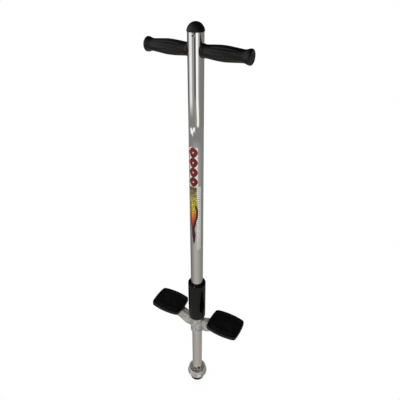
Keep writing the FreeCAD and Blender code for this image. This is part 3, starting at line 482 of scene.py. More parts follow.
class Finish:
    """A material being made: a Principled shader and the coordinates its patterns use."""

    def __init__(self, name, base, metallic=0.0, specular=0.5):
        self.material = bpy.data.materials.new(name)
        self.material.use_nodes = True
        self.tree = self.material.node_tree
        self.tree.nodes.clear()
        self.shader = self.tree.nodes.new("ShaderNodeBsdfPrincipled")
        self.out = self.tree.nodes.new("ShaderNodeOutputMaterial")
        self.tree.links.new(self.shader.outputs[0], self.out.inputs["Surface"])
        self.place = add_node(self.tree, "ShaderNodeTexCoord").outputs["Object"]
        self.base = base
        self.heights = []
        self.set("Metallic", metallic)
        self.set("Specular IOR Level", specular)

    def set(self, entry, item):
        """Fills in one of the shader's inputs."""
        feed(self.tree, self.shader.inputs[entry], item)

    def stretched(self, x, y, z):
        """The object's own coordinates, scaled."""
        return add_node(self.tree, "ShaderNodeMapping", Vector=self.place,
                        Scale=(x, y, z)).outputs[0]

    def noise(self, scale, detail=2, roughness=0.5, stretch=(1, 1, 1)):
        """A soft noise of about 0..1; scale is in waves per metre, fewer along a stretched axis."""
        node = add_node(self.tree, "ShaderNodeTexNoise", Vector=self.stretched(*stretch),
                        Scale=scale, Detail=detail, Roughness=roughness)
        return Field(self.tree, node.outputs["Fac"])

    def cells(self, scale):
        """Distance in a field of scattered cells; scale is in cells per metre."""
        node = add_node(self.tree, "ShaderNodeTexVoronoi", Vector=self.place, Scale=scale)
        return Field(self.tree, node.outputs["Distance"])

    def cell_tone(self, scale):
        """One random number for each scattered cell."""
        node = add_node(self.tree, "ShaderNodeTexVoronoi", Vector=self.place, Scale=scale)
        parts = add_node(self.tree, "ShaderNodeSeparateColor", Color=node.outputs["Color"])
        return Field(self.tree, parts.outputs[0])

    def along_normal(self, vector):
        """How far a vector goes along the surface's own normal."""
        normal = add_node(self.tree, "ShaderNodeNewGeometry").outputs["Normal"]
        dot = add_node(self.tree, "ShaderNodeVectorMath", {"operation": "DOT_PRODUCT"})
        self.tree.links.new(vector, dot.inputs[0])
        self.tree.links.new(normal, dot.inputs[1])
        return Field(self.tree, dot.outputs["Value"])

    def worn_edges(self, radius):
        """1 on convex edges, 0 on flats."""
        softened = add_node(self.tree, "ShaderNodeBevel", {"samples": 4}, Radius=radius)
        return self.along_normal(softened.outputs[0]).ease(0.995, 0.93)

    def crevice_shade(self, reach):
        """1 deep in corners and holes, 0 in the open: the mask for painted shade there."""
        node = add_node(self.tree, "ShaderNodeAmbientOcclusion", {"samples": 4}, Distance=reach)
        return Field(self.tree, node.outputs["AO"]).ease(0.85, 0.35)

    def facing_in(self):
        """1 where the surface faces the stick's axis, 0 where it faces away."""
        return self.along_normal(self.stretched(1, 1, 0)).ease(0.002, -0.004)

    def bump(self, height, distance, strength):
        """Adds a relief; distance is its full height in metres."""
        self.heights.append((height, distance, strength))

    def vary(self, factor, shade):
        """Colours the base by a factor."""
        self.base = blend_colours(self.tree, factor, self.base, shade)

    def done(self, roughness):
        """Joins everything up and gives the material."""
        self.set("Base Color", self.base)
        self.set("Roughness", roughness)
        normal = None
        for height, distance, strength in self.heights:
            node = add_node(self.tree, "ShaderNodeBump", Height=height, Distance=distance,
                            Strength=strength)
            if normal:
                self.tree.links.new(normal, node.inputs["Normal"])
            normal = node.outputs[0]
        self.tree.links.new(normal, self.shader.inputs["Normal"])
        return self.material

    def see_through(self, cover):
        """Leaves the material only where cover is 1, and clear film elsewhere."""
        clear = add_node(self.tree, "ShaderNodeBsdfTransparent")
        mix = self.tree.nodes.new("ShaderNodeMixShader")
        feed(self.tree, mix.inputs[0], cover)
        self.tree.links.new(clear.outputs[0], mix.inputs[1])
        self.tree.links.new(self.shader.outputs[0], mix.inputs[2])
        self.tree.links.new(mix.outputs[0], self.out.inputs["Surface"])


def chrome_finish(name, tint, roughness, band=None):
    """Plated tube: long polishing lines, faint smudges, and a mottled band just above the sleeve,
    rougher from scuffing and lighter by painted reflection.
    """
    finish = Finish(name, tint, metallic=1.0)
    lines = finish.noise(1100, detail=3, stretch=(1, 1, 0.012))
    smudges = finish.noise(26, detail=3, stretch=(1, 1, 0.45))
    specks = finish.cells(420).ease(0.10, 0.02)
    rough = lines * 0.02 + smudges.ease(0.5, 0.8) * 0.06 + roughness
    if band:
        bottom, top = band
        height = axes(finish.tree, finish.place)[2]
        scuff_and_glint = height.ease(top, bottom) * height.ease(bottom - 4 * MM, bottom - 3 * MM)
        mottle = finish.noise(380, detail=4, roughness=0.7).ease(0.38, 0.62)
        # painted reflection: a lighter mottled colour in the band; the roughness added next is real
        # scuffing
        finish.vary(scuff_and_glint * mottle * 0.8, colour(255, 254, 250))
        rough = rough + scuff_and_glint * mottle * 0.25
    finish.vary(smudges.ease(0.5, 0.8) * 0.10, colour(170, 166, 158))
    finish.vary(specks * 0.35, colour(128, 124, 116))
    finish.bump(lines, 0.01 * MM, 0.2)
    finish.bump(smudges, 0.10 * MM, 0.10)
    return finish.done(rough)


def cast_steel_finish(name, tint):
    """Zinc-plated sheet: frosty crystal grain, dull patches, brighter worn edges and painted shade
    in corners and joins.
    """
    finish = Finish(name, tint, metallic=0.55)
    frost = finish.cell_tone(190)
    grain = finish.noise(1400, detail=3, roughness=0.7)
    patches = finish.noise(90, detail=4, roughness=0.6)
    finish.vary(frost.ease(0.2, 0.9) * 0.55, colour(150, 149, 147))
    finish.vary(patches.ease(0.46, 0.66) * 0.50, colour(104, 103, 100))
    finish.vary(finish.worn_edges(1.2 * MM) * 0.6, colour(250, 250, 248))
    # painted shade: darkens corners and joins between parts by ambient occlusion
    finish.vary(finish.crevice_shade(7 * MM) * 0.85, colour(46, 44, 42))
    finish.bump(grain, 0.06 * MM, 0.5)
    finish.bump(frost, 0.05 * MM, 0.4)
    return finish.done(frost * 0.12 + grain * 0.14 + patches * 0.10 + 0.22)


def spun_steel_finish(name, tint):
    """Spun and plated bowl: rings left by the tool, dents and scratches from landing."""
    finish = Finish(name, tint)
    inside = finish.facing_in()
    rings = finish.noise(500, stretch=(0.05, 0.05, 1))
    dents = finish.noise(60)
    scratches = finish.noise(320, stretch=(1, 0.14, 0.5)).ease(0.60, 0.66)
    finish.vary(dents.ease(0.4, 0.7) * 0.45, colour(150, 146, 142))
    finish.vary(finish.noise(150, detail=3).ease(0.52, 0.66) * 0.45, colour(120, 116, 112))
    finish.vary(inside * 0.9, colour(238, 234, 228))
    finish.vary(finish.worn_edges(1.5 * MM) * 0.7, colour(252, 251, 249))
    finish.set("Metallic", inside * -0.85 + 0.85)
    finish.bump(rings, 0.04 * MM, 0.4)
    finish.bump(dents, 0.6 * MM, 0.4)
    finish.bump(scratches, 0.03 * MM, 0.5)
    return finish.done(rings * 0.10 + scratches * 0.18 + inside * 0.2 + 0.14)


def plated_screw_finish(name, tint):
    """Small plated fasteners: a hazy shine, bright edges and painted shade in the holes."""
    finish = Finish(name, tint, metallic=1.0)
    haze = finish.noise(500, detail=3)
    finish.vary(haze.ease(0.4, 0.7) * 0.4, colour(150, 147, 140))
    finish.vary(finish.worn_edges(0.5 * MM) * 0.6, colour(240, 239, 235))
    # painted shade: darkens holes and recesses by ambient occlusion
    finish.vary(finish.crevice_shade(2 * MM), colour(28, 27, 26))
    finish.bump(haze, 0.03 * MM, 0.4)
    return finish.done(haze * 0.25 + 0.2)


def rubber_finish(name, base, sheen, roughness=0.5, specular=0.35, dust=0.25, wear=0.3):
    """Moulded rubber: pebbled skin, dusty bloom in patches, edges rubbed paler."""
    finish = Finish(name, base, specular=specular)
    pebbles = finish.cells(1150)
    pores = finish.noise(2600)
    bloom = finish.noise(55, detail=5, roughness=0.62)
    finish.vary(bloom.ease(0.48, 0.78) * dust, sheen)
    finish.vary(finish.worn_edges(1.0 * MM) * wear, sheen)
    finish.bump(pebbles, 0.10 * MM, 0.4)
    finish.bump(pores, 0.04 * MM, 0.4)
    return finish.done(bloom * 0.16 + pores * 0.10 + (roughness - 0.13))


def plastic_finish(name, base, roughness, specular):
    """Hard moulded plastic: fine spark texture, flow marks, light scratches and dull edges."""
    finish = Finish(name, base)
    layer = add_node(finish.tree, "ShaderNodeLayerWeight", Blend=0.5)
    grazing = Field(finish.tree, layer.outputs["Facing"])
    finish.set("Specular IOR Level", grazing.ease(0.55, 0.85, specular, specular * 0.12))
    texture = finish.noise(1900, detail=3, roughness=0.6)
    flow = finish.noise(40, detail=3, stretch=(1, 1, 0.3))
    scratches = finish.noise(260, stretch=(1, 1, 0.07)).ease(0.66, 0.71)
    finish.vary(flow.ease(0.5, 0.8) * 0.15, colour(30, 29, 28))
    finish.vary(scratches * 0.15, colour(70, 68, 66))
    finish.vary(finish.worn_edges(0.6 * MM) * 0.25, colour(70, 68, 66))
    finish.bump(texture, 0.02 * MM, 0.4)
    finish.bump(flow, 0.20 * MM, 0.08)
    return finish.done(texture * 0.08 + scratches * 0.12 + flow * 0.06 + (roughness - 0.07))


def nylon_finish(name):
    """Milky turned nylon."""
    finish = Finish(name, colour(206, 202, 188))
    waves = finish.noise(160, detail=3)
    finish.vary(waves.ease(0.4, 0.8) * 0.4, colour(180, 174, 156))
    finish.bump(waves, 0.05 * MM, 0.4)
    finish.set("Subsurface Weight", 0.1)
    finish.set("Subsurface Scale", 2 * MM)
    return finish.done(waves * 0.2 + 0.3)


def spring_finish(name):
    """Drawn and oiled spring wire."""
    finish = Finish(name, colour(128, 124, 118), metallic=1.0)
    drawn = finish.noise(700)
    finish.vary(drawn.ease(0.5, 0.75) * 0.6, colour(92, 78, 62))
    finish.bump(drawn, 0.04 * MM, 0.5)
    return finish.done(drawn * 0.3 + 0.22)


# ---- pieces --------------------------------------------------------------------------------

def paint(material, *names):
    """Gives CAD nodes their finish."""
    for name in names:
        node = nodes[name]
        for slot in node.material_slots:
            slot.material = material


def make_cap(material):
    """The domed plug in the tube's top, with a small lip where it meets the tube."""
    bottom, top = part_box("top_cap")
    radius = top.x
    plug = tube_radius - 1.3 * MM
    edge = 0.3 * MM
    lip = tube_top + 1.4 * MM
    height = top.z - lip
    ball = (radius ** 2 + height ** 2) / (2 * height)
    half_angle = math.asin(radius / ball)
    corners = [(0, bottom.z), (plug, bottom.z), (plug, tube_top), (radius - edge, tube_top),
               (radius, tube_top + edge), (radius, lip)]
    outline = [Vector(corner) for corner in corners]
    for step in range(31, -1, -1):
        turn = half_angle * step / 32
        outline.append(Vector((ball * math.sin(turn), top.z - ball * (1 - math.cos(turn)))))
    tools = bmesh.new()
    lathe(tools, outline, 96)
    stand_in("top_cap", tools, material)


def make_rivets(material):
    """Hollow rivets: a rolled head round a sunken dark centre."""
    bottom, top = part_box("cap_rivets")
    centre = (bottom + top) / 2
    head = (top.z - bottom.z) / 2
    shank = 2.4 * MM
    face = tube_radius                   # heights are counted from the stick's axis
    turn = math.radians(13)              # of the pair, from the front towards +X
    facing = Vector((math.sin(turn), -math.cos(turn), 0))
    outline = rounded([
        (0, face - 7 * MM), (shank, face - 7 * MM),
        (shank, face - 1.0 * MM), (head, face - 0.9 * MM),
        (head, face + 0.5 * MM, 0.5 * MM),
        (head * 0.62, face + 1.5 * MM, 0.9 * MM),
        (head * 0.42, face + 0.9 * MM, 0.4 * MM),
        (head * 0.40, face - 1.5 * MM), (0, face - 1.5 * MM),
    ])
    tools = bmesh.new()
    for way in (facing, -facing):
        turned = way.to_track_quat("Z", "Y").to_matrix().to_4x4()
        lathe(tools, outline, 40, Matrix.Translation(centre) @ turned)
    stand_in("cap_rivets", tools, material)


def make_grip(side, material):
    """A soft grip: two flanges, a swelling barrel, long flutes, and an end cut round the tube."""
    node = f"{side}_grip"
    bottom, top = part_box(node)
    sign = 1 if side == "right" else -1
    bar_middle = middle("handlebar").x
    bar_half = high("handlebar").x - bar_middle
    end = (top.x - bar_middle) if side == "right" else (bar_middle - bottom.x)
    barrel = (top.z - bottom.z) / 2
    # how far along the bar from its middle, in millimetres, and the share of the widest radius
    profile = [
        (14.0, 0.800), (14.4, 0.860), (15.2, 0.897), (16.2, 0.907), (17.4, 0.900), (18.6, 0.872),
        (20.0, 0.840), (21.6, 0.827), (24.0, 0.835), (28.0, 0.852), (34.0, 0.885), (42.0, 0.936),
        (51.0, 0.980), (60.0, 1.000), (67.0, 0.998), (76.0, 0.955), (86.0, 0.893), (95.0, 0.838),
        (101.0, 0.806), (104.5, 0.797), (107.5, 0.812), (110.4, 0.862), (113.4, 0.925),
        (116.2, 0.965), (118.3, 0.975), (119.9, 0.955), (121.1, 0.900), (121.8, 0.830),
        (end / MM, 0.740),
    ]
    around = 192
    tube_room = tube_radius + 2 * SNUG
    flutes = 12
    flute_middle = 62 * MM
    flute_half = 27 * MM
    depth = 1.5 * MM

    def sink(along, turn):
        """How far the flutes pull the surface in."""
        reach = (along - flute_middle) / flute_half
        if abs(reach) >= 1:
            return 0.0
        taper = 1 - reach * reach
        beside = (turn * flutes / (2 * math.pi)) % 1.0 - 0.5
        width = 0.40 * math.sqrt(taper)
        if abs(beside) >= width:
            return 0.0
        return depth * math.sqrt(taper) * (0.5 + 0.5 * math.cos(math.pi * beside / width))

    def ring_at(along, radius, fluted=False):
        ring = []
        for step in range(around):
            turn = 2 * math.pi * step / around
            reach = radius - (sink(along, turn) if fluted else 0.0)
            out = Vector((bar_middle + sign * along, reach * math.sin(turn),
                          bar_height + reach * math.cos(turn)))
            # the inner end is cut to lie against the tube
            tube_side = math.sqrt(max(tube_room ** 2 - out.y ** 2, 0.0))
            if abs(out.x) < tube_side:
                out.x = sign * tube_side
            ring.append(out)
        return ring

    curve = smooth_curve([(along * MM, barrel * share) for along, share in profile], 5)
    rings = [ring_at(along, radius, fluted=True) for along, radius in curve]
    # the closed end: a shallow moulded dish with a boss in its middle
    for share, sunk in ((0.66, 0.0), (0.60, 0.5), (0.56, 0.9), (0.34, 0.9), (0.30, 0.6),
                        (0.26, 0.1), (0.12, 0.0), (0.0, 0.0)):
        rings.append(ring_at(end - sunk * MM, barrel * share))
    # the bore, wider where the weld bead sits
    bore = bar_radius + SNUG
    weld_room = bar_radius + 2.4 * MM
    bar_end = bar_half + SNUG
    weld_end = tube_radius + 3.7 * MM
    start = tube_radius - 3.5 * MM
    for along, radius in ((bar_end, 0.0), (bar_end, bore), (weld_end, bore),
                          (weld_end, weld_room), (start, weld_room)):
        rings.append(ring_at(along, radius))
    tools = bmesh.new()
    skin(tools, rings, closed_along=True)
    stand_in(node, tools, material, sharp=50)


def smooth_curve(points, steps):
    """Catmull-Rom points through a list of (x, y)."""
    spots = [Vector(p) for p in points]
    padded = [spots[0] * 2 - spots[1]] + spots + [spots[-1] * 2 - spots[-2]]
    curve = []
    for number in range(1, len(padded) - 2):
        a, b, c, d = padded[number - 1:number + 3]
        for step in range(steps):
            t = step / steps
            curve.append(0.5 * (2 * b + (c - a) * t + (2 * a - 5 * b + 4 * c - d) * t * t
                                + (3 * b - a - 3 * c + d) * t * t * t))
    curve.append(spots[-1])
    return curve


def bowed_loop(half_length, half_width, bow, end_bow, corner, count):
    """A rectangle's outline with bowed sides and round corners, as evenly spaced points."""
    half_length = max(half_length, 0.05 * MM)
    half_width = max(half_width, 0.02 * MM)
    corners = [Vector((half_length, -half_width)), Vector((half_length, half_width)),
               Vector((-half_length, half_width)), Vector((-half_length, -half_width))]
    pushes = (Vector((end_bow, 0)), Vector((0, bow)), Vector((-end_bow, 0)), Vector((0, -bow)))
    steps = 24
    sides = []
    for start, end, push in zip(corners, corners[1:] + corners[:1], pushes):
        shares = [step / steps for step in range(steps)]
        sides.append([start.lerp(end, s) + push * 4 * s * (1 - s) for s in shares])
    points = [p for side in sides for p in side]
    if corner > 0.05 * MM:
        points = round_polygon_corners(sides, corner)
    return even_points(points, count)


def round_polygon_corners(sides, radius):
    """Cuts each corner where two sides meet and bridges it with an arc-like curve."""
    lines = [side + [after[0]] for side, after in zip(sides, sides[1:] + sides[:1])]
    trimmed = [trim_ends(line, radius) for line in lines]
    points = []
    for number, line in enumerate(trimmed):
        points += line
        corner = lines[number][-1]
        after = trimmed[(number + 1) % 4][0]
        for step in range(1, 8):
            share = step / 8
            points.append(line[-1] * (1 - share) ** 2 + corner * 2 * share * (1 - share)
                          + after * share * share)
    return points


def trim_ends(line, length):
    """The polyline without its first and last stretch of the given length."""
    total = sum((b - a).length for a, b in zip(line, line[1:]))
    length = min(length, total * 0.45)
    kept = []
    gone = 0.0
    for a, b in zip(line, line[1:]):
        step = (b - a).length
        if gone < length <= gone + step:
            kept.append(a.lerp(b, (length - gone) / step))
        if length < gone + step < total - length:
            kept.append(b.copy())
        if gone < total - length <= gone + step:
            kept.append(a.lerp(b, (total - length - gone) / step))
        gone += step
    return kept


def even_points(points, count):
    """Points at even spacing round a closed polyline."""
    closed = points + [points[0]]
    lengths = [0.0]
    for a, b in zip(closed, closed[1:]):
        lengths.append(lengths[-1] + (b - a).length)
    total = lengths[-1]
    spaced = []
    spot = 0
    for number in range(count):
        target = total * number / count
        while lengths[spot + 1] < target:
            spot += 1
        step = lengths[spot + 1] - lengths[spot]
        share = (target - lengths[spot]) / step if step else 0.0
        spaced.append(closed[spot].lerp(closed[spot + 1], share))
    return spaced


def make_pad(side, material):
    """A foot pad: bowed outline, two raised ridges round the border, a studded field."""
    node = f"{side}_pad"
    bottom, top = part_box(node)
    centre = (bottom + top) / 2
    end_bow = 3.2 * MM
    bow = 5.8 * MM
    half_length = (top.x - bottom.x) / 2 - end_bow
    half_width = (top.y - bottom.y) / 2 - bow
    corner = 7.5 * MM
    thick = top.z - bottom.z
    count = 320
    # how far in from the outline, and how far below the top
    border = [
        (3.0, thick / MM), (0.6, thick / MM), (0.15, thick / MM - 0.4), (0.0, thick / MM - 1.2),
        (0.0, 3.2), (0.15, 2.0), (0.6, 1.1), (1.3, 0.45), (2.2, 0.12), (3.2, 0.0), (4.4, 0.0),
        (4.9, 0.15), (5.2, 0.6), (5.4, 1.0), (6.6, 1.0), (6.8, 0.6), (7.1, 0.15), (7.5, 0.0),
        (8.3, 0.0), (8.7, 0.15), (9.0, 0.6), (9.2, 1.0), (10.4, 1.0), (10.6, 0.7), (10.9, 0.45),
    ]
    field_start = 11.2
    deepest = half_width / MM + 0.01
    steps = 60
    field = [(field_start + (deepest - field_start) * (n / steps), 0.4) for n in range(steps + 1)]
    studs = 4.6 * MM

    def stud(x, y):
        """Height of the small diamond studs at a point of the field."""
        u = ((x + y) / studs) % 1.0 - 0.5
        v = ((x - y) / studs) % 1.0 - 0.5
        peak = 0.5 - max(abs(u), abs(v))
        return min(peak / 0.16, 1.0) * 0.42 * MM

    rings = []
    for inset, drop in border + field:
        shrink = inset * MM
        rest = max(0.0, 1 - shrink / half_width)
        loop = bowed_loop(half_length - shrink, half_width - shrink, bow * rest ** 0.5,
                          end_bow * rest, max(corner - shrink * 0.45, 1 * MM) * min(1, rest * 6),
                          count)
        ring = []
        for point in loop:
            height = top.z - drop * MM
            if inset >= field_start:
                away = min((inset - field_start) / 1.2, 1.0)
                height += stud(point.x, point.y) * away
            ring.append(Vector((centre.x + point.x, centre.y + point.y, height)))
        rings.append(ring)
    tools = bmesh.new()
    rows = skin(tools, rings)
    pad_underside(tools, rows[0], centre, bottom.z, count)
    stand_in(node, tools, material, sharp=45)


def pad_underside(tools, outer, centre, height, count):
    """Closes the pad below with a pocket that holds the steel insert."""
    plate_low, plate_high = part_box("right_pad_insert")
    room = 0.05 * MM
    plate_x = (plate_high.x - plate_low.x) / 2 + room
    plate_y = (plate_high.y - plate_low.y) / 2 + room
    depth = plate_high.z - plate_low.z + room
    rim = bowed_loop(plate_x, plate_y, 0, 0, 0, count)
    spots = [Vector((centre.x + p.x, centre.y + p.y, 0)) for p in rim]
    mouth = [tools.verts.new((p.x, p.y, height)) for p in spots]
    roof = [tools.verts.new((p.x, p.y, height + depth)) for p in spots]
    for first, second in ((outer, mouth), (mouth, roof)):
        for spot in range(count):
            after = (spot + 1) % count
            tools.faces.new([first[after], first[spot], second[spot], second[after]])
    tools.faces.new(roof)


def make_sleeve(material):
    """The sleeve over the pin's slots: rolled rim, parting line and a softened lower edge."""
    outer = sleeve_high.x
    wall = 2.5 * MM
    inner = outer - wall
    collar = high("bracket_collar").x + SNUG
    tube = tube_radius + SNUG
    shelf = low("sleeve_ring").z
    shelf_height = 8 * MM
    mouth = 4 * MM
    bottom = sleeve_low.z
    top = sleeve_high.z
    corners = [
        (collar, bottom), (outer - 0.2 * MM, bottom, 0.9 * MM), (outer, bottom + 6 * MM, 2 * MM),
        (outer, top, 1.2 * MM), (inner, top, 0.9 * MM), (inner, shelf), (tube, shelf),
        (tube, shelf - shelf_height), (inner, shelf - shelf_height), (inner, bottom + mouth),
        (collar, bottom + mouth),
    ]

    def parting_line(radius, height, turn):
        """The mould's two parting lines, a hair proud of the outside."""
        if radius < outer - 0.5 * MM:
            return radius
        near = min(turn % math.pi, math.pi - turn % math.pi)
        return radius + 0.12 * MM * max(0.0, 1 - near / 0.03)

    turned_piece("sleeve", corners, material, 240, ripple=parting_line)


def make_stop_ring(node, material):
    """A plain rubber stop with rounded edges."""
    bottom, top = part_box(node)
    inner = tube_radius + SNUG
    outer = top.x
    edge = 0.6 * MM
    turned_piece(node, [
        (inner, bottom.z, edge), (outer, bottom.z, edge), (outer, top.z, edge),
        (inner, top.z, edge),
    ], material, 72)


def make_foot_cup(material):
    """The spun bowl: a rolled rim, dents and crossing creases round its lower half."""
    rim_z = cup_high.z
    belly = cup_high.x / MM
    base = cup_low.z
    foot = 18.0 * MM
    rim = 29.0 * MM
    wall = 2.5 * MM
    floor = base + 3.0 * MM
    hole = 4.1 * MM

    def wall_curve(points):
        """A smooth line through points given as (radius, height above the base), in mm."""
        return smooth_curve([(radius * MM, base + height * MM) for radius, height in points], 6)

    top = (rim_z - base) / MM
    outside = wall_curve([
        (foot / MM, 0), (19.6, 3.4), (23.2, 8.5), (27.2, 13.5), (belly, 20), (belly + 0.1, 26),
        (29.8, 33), (rim / MM, top - 2.0),
    ])
    inside = wall_curve([
        ((rim - wall) / MM, top - 2.4), (27.2, 33), (27.6, 26), (27.2, 20), (24.2, 13.5),
        (20.4, 8.5), (17.2, 4.2),
    ])
    lip = []
    for step in range(1, 12):
        turn = math.pi * step / 12
        lip.append(Vector((rim - wall / 2 + (wall / 2 + 0.4 * MM) * math.cos(turn),
                           rim_z - 2.0 * MM + 2.0 * MM * math.sin(turn))))
    outline = [Vector((hole, base)), Vector((foot - 1.4 * MM, base))]
    outline += outside + lip + inside + [Vector((foot - 2.5 * MM, floor)), Vector((hole, floor))]

    def hammered(radius, height, turn):
        """Shallow dents left by hard landings, mostly round the lower half."""
        if radius < foot - 2 * MM:
            return radius
        spot = Vector((math.cos(turn), math.sin(turn), height / (30 * MM)))
        low_down = max(0.0, min(1.0, (rim_z - 6 * MM - height) / (14 * MM)))
        dent = noise.noise(spot * 3.1) * 0.55 + noise.noise(spot * 6.7) * 0.28
        climb = (height - base) / (15 * MM)
        creases = math.sin(13 * turn + 2.4 * climb) * math.sin(11 * turn - 2.9 * climb)
        relief = dent * (0.25 + 0.75 * low_down) * 1.1 + creases * low_down * 0.42
        return radius + relief * 0.7 * MM

    tools = bmesh.new()
    lathe(tools, outline, 192, ripple=hammered)
    stand_in("foot_cup", tools, material, "plunger")


def make_tip(material):
    """The rubber tip: a rounded tread edge, a groove round its side, lugs on its sole."""
    radius = tip_high.x + 1.8 * MM       # the sole bulges under the bowl
    top = tip_high.z
    # the room for the steel disc and stud moulded into it
    stud = 4 * MM + SNUG
    disc = 10 * MM + SNUG
    disc_low = 2.48 * MM
    disc_high = 4.52 * MM
    edge = 0.3 * MM
    lug = 0.6 * MM
    groove = 0.7 * MM
    corners = [(0, 0.0)]
    for share in (0.30, 0.60):
        corners += [(radius * share, 0.0, edge), (radius * (share + 0.02), lug, edge),
                    (radius * (share + 0.10), lug, edge), (radius * (share + 0.12), 0.0, edge)]
    corners += [
        (radius, 0.0, 2.6 * MM), (radius, 3.4 * MM, edge), (radius - groove, 3.7 * MM, edge),
        (radius - groove, 4.2 * MM, edge), (radius, 4.5 * MM, edge), (radius, top, 0.8 * MM),
        (stud, top), (stud, disc_high), (disc, disc_high), (disc, disc_low), (0, disc_low),
    ]
    turned_piece("rubber_tip", corners, material, 144, "plunger")


def make_spring(material):
    """The coil of wire, built fine along its length."""
    bottom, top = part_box("spring")
    wire = 2.25 * MM
    coil = top.x - wire
    turns = 26
    sides = 12                           # round the wire
    steps = turns * 28                   # along it
    rise = top.z - bottom.z - 2 * wire
    rings = []
    for step in range(steps + 1):
        share = step / steps
        turn = 2 * math.pi * turns * share
        out = Vector((math.cos(turn), math.sin(turn), 0))
        centre = out * coil + Vector((0, 0, bottom.z + wire + rise * share))
        rings.append([centre + out * (wire * math.cos(a)) + Vector((0, 0, wire * math.sin(a)))
                      for a in [2 * math.pi * s / sides for s in range(sides)]])
    tools = bmesh.new()
    rows = skin(tools, rings)
    tools.faces.new(rows[0][::-1])
    tools.faces.new(rows[-1])
    piece = stand_in("spring", tools, material, sharp=60)
    joint = [j for j in frame["joints"] if j["name"] == "plunge"][0]
    travel = max(abs(limit) for limit in joint["range_m"])
    length = top.z - bottom.z
    (length - travel) / length
    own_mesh(piece)


# ---- the printed film ----------------------------------------------------------------------

def curve_along(tree, factor, points, low, high):
    """A smooth curve through (place, value) points; values stay between low and high."""
    stops = [(place, (value - low) / (high - low)) for place, value in points]
    return Field(tree, ramp(tree, factor, stops, "EASE")) * (high - low) + low


def decal_finish(name):
    """The print on clear film: four red badges, a speckled band and a long tapering flame."""
    finish = Finish(name, colour(214, 212, 205))
    tree = finish.tree
    side, rise, _ = axes(tree, add_node(tree, "ShaderNodeUVMap").outputs[0])
    across = (side - PRINT_MIDDLE) / PRINT_HALF
    streaks = finish.noise(240, detail=3, stretch=(1, 1, 0.10))
    grain = finish.noise(300, detail=4, roughness=0.7)
    specks = finish.noise(240, detail=3, roughness=0.6)

    # four badges: plump red lozenges with a small pale eye, on a pale plate
    row = (rise - BADGES_LOW) / BADGE_PITCH
    in_rows = row.window(0.0, 4.0, 0.004)
    along = row.math("FRACT") - 0.5
    up = along.math("ABSOLUTE") * 2.0
    out = across.math("ABSOLUTE")
    lozenge = up.math("POWER", 1.6) + out.math("POWER", 1.6)
    plate = (1.75 - lozenge).ease(-0.05, 0.05) * in_rows * (1.10 - across).ease(0, 0.1)
    badge = (1.05 - lozenge).ease(-0.05, 0.05) * in_rows
    rim = (1.05 - lozenge).ease(0.34, 0.16)
    eye = (0.06 - lozenge).ease(-0.02, 0.02) * in_rows

    # the band between the badges and the flame: olive above, yellow below, dark specks all over
    band_edge = rise.ease(0.46, 0.60, 1.0, 0.82)
    band = (band_edge - (across + 0.04).math("ABSOLUTE")).ease(-0.06, 0.06) * rise.window(
        FLAME_TOP - 0.10, BADGES_LOW - 0.006, 0.006)
    band_tone = ramp(tree, rise + specks * 0.05, [
        (0.42, colour(222, 170, 44)), (0.50, colour(206, 186, 50)), (0.56, colour(186, 176, 70)),
        (0.60, colour(150, 140, 72)), (0.66, colour(122, 96, 62)),
    ])
    speckled = specks.ease(0.48, 0.56) * rise.ease(0.40, 0.52, 0.55, 0.90)

    # flame: a belly swelling to the right, a waist, a small dark swell and a point
    left = curve_along(tree, rise, FLAME_LEFT, -1.2, 1.2)
    right = curve_along(tree, rise, FLAME_RIGHT, -1.2, 1.2)
    inside_left = across - left
    inside_right = right - across
    flame = (inside_left.ease(-0.03, 0.05) * inside_right.ease(-0.03, 0.05)
             * rise.window(0.055, FLAME_TOP, 0.006))
    outline = inside_left.ease(0.36, 0.20).math("MAXIMUM", inside_right.ease(0.60, 0.40))
    heat = ramp(tree, rise - across * 0.05 + streaks * 0.04, [
        (0.12, colour(92, 20, 22)), (0.25, colour(106, 20, 20)), (0.30, colour(140, 32, 20)),
        (0.35, colour(182, 62, 24)), (0.40, colour(216, 112, 30)), (0.44, colour(222, 160, 40)),
        (0.48, colour(206, 186, 52)),
    ])

    red = blend_colours(tree, streaks.ease(0.35, 0.65), colour(128, 14, 24), colour(84, 6, 14))
    finish.vary(plate, colour(226, 222, 216))
    finish.vary(badge, red)
    finish.vary(badge * rim * 0.8, colour(48, 8, 12))
    finish.vary(eye, colour(222, 208, 196))
    finish.vary(band, band_tone)
    finish.vary(flame, heat)
    finish.vary((band * speckled).math("MINIMUM", 1.0), colour(50, 44, 28))
    finish.vary(flame * outline * 0.92, colour(40, 20, 16))
    finish.vary(grain.ease(0.62, 0.70) * 0.20, colour(196, 192, 182))
    covered = (plate + badge + band + flame).math("MINIMUM", 1.0)

    # halftone fringe: pale dots down the right of the print
    fringe = side.window(0.30, 0.97, 0.05) * rise.window(0.01, BADGES_LOW, 0.01)
    dot_across = (side * DOTS_ACROSS).math("FRACT") - 0.5
    dot_up = (rise * DOTS_UP).math("FRACT") - 0.5
    dot = (dot_across * dot_across + dot_up * dot_up).math("SQRT")
    haze = fringe * dot.ease(0.50, 0.34) * rise.ease(0.0, 0.20, 0.6, 0.9)
    finish.vary(haze * (1 - covered), colour(240, 242, 240))
    cover = (covered + haze).math("MINIMUM", 1.0)

    finish.bump(cover, 0.03 * MM, 0.5)
    finish.see_through(cover)
    return finish.done(streaks * 0.15 + 0.28)


# the print's layout: heights are shares of the film's height, the sides -1..1 across the print
BADGES_LOW = 0.660
BADGE_PITCH = 0.085
FLAME_TOP = 0.480
PRINT_MIDDLE = -0.24
PRINT_HALF = 0.72
FLAME_LEFT = ((0.06, 0.0), (0.11, -0.25), (0.18, -0.46), (0.24, -0.50), (0.30, -0.78),
              (0.48, -0.86))
FLAME_RIGHT = ((0.06, 0.06), (0.12, 0.34), (0.18, 0.46), (0.23, 0.24), (0.30, 0.58), (0.36, 0.98),
               (0.42, 1.10), (0.48, 0.78))
DOTS_ACROSS = 3.9
DOTS_UP = 50

DECAL_MIDDLE = math.radians(16)          # round the tube, from the front towards +X
DECAL_HALF = math.radians(50)


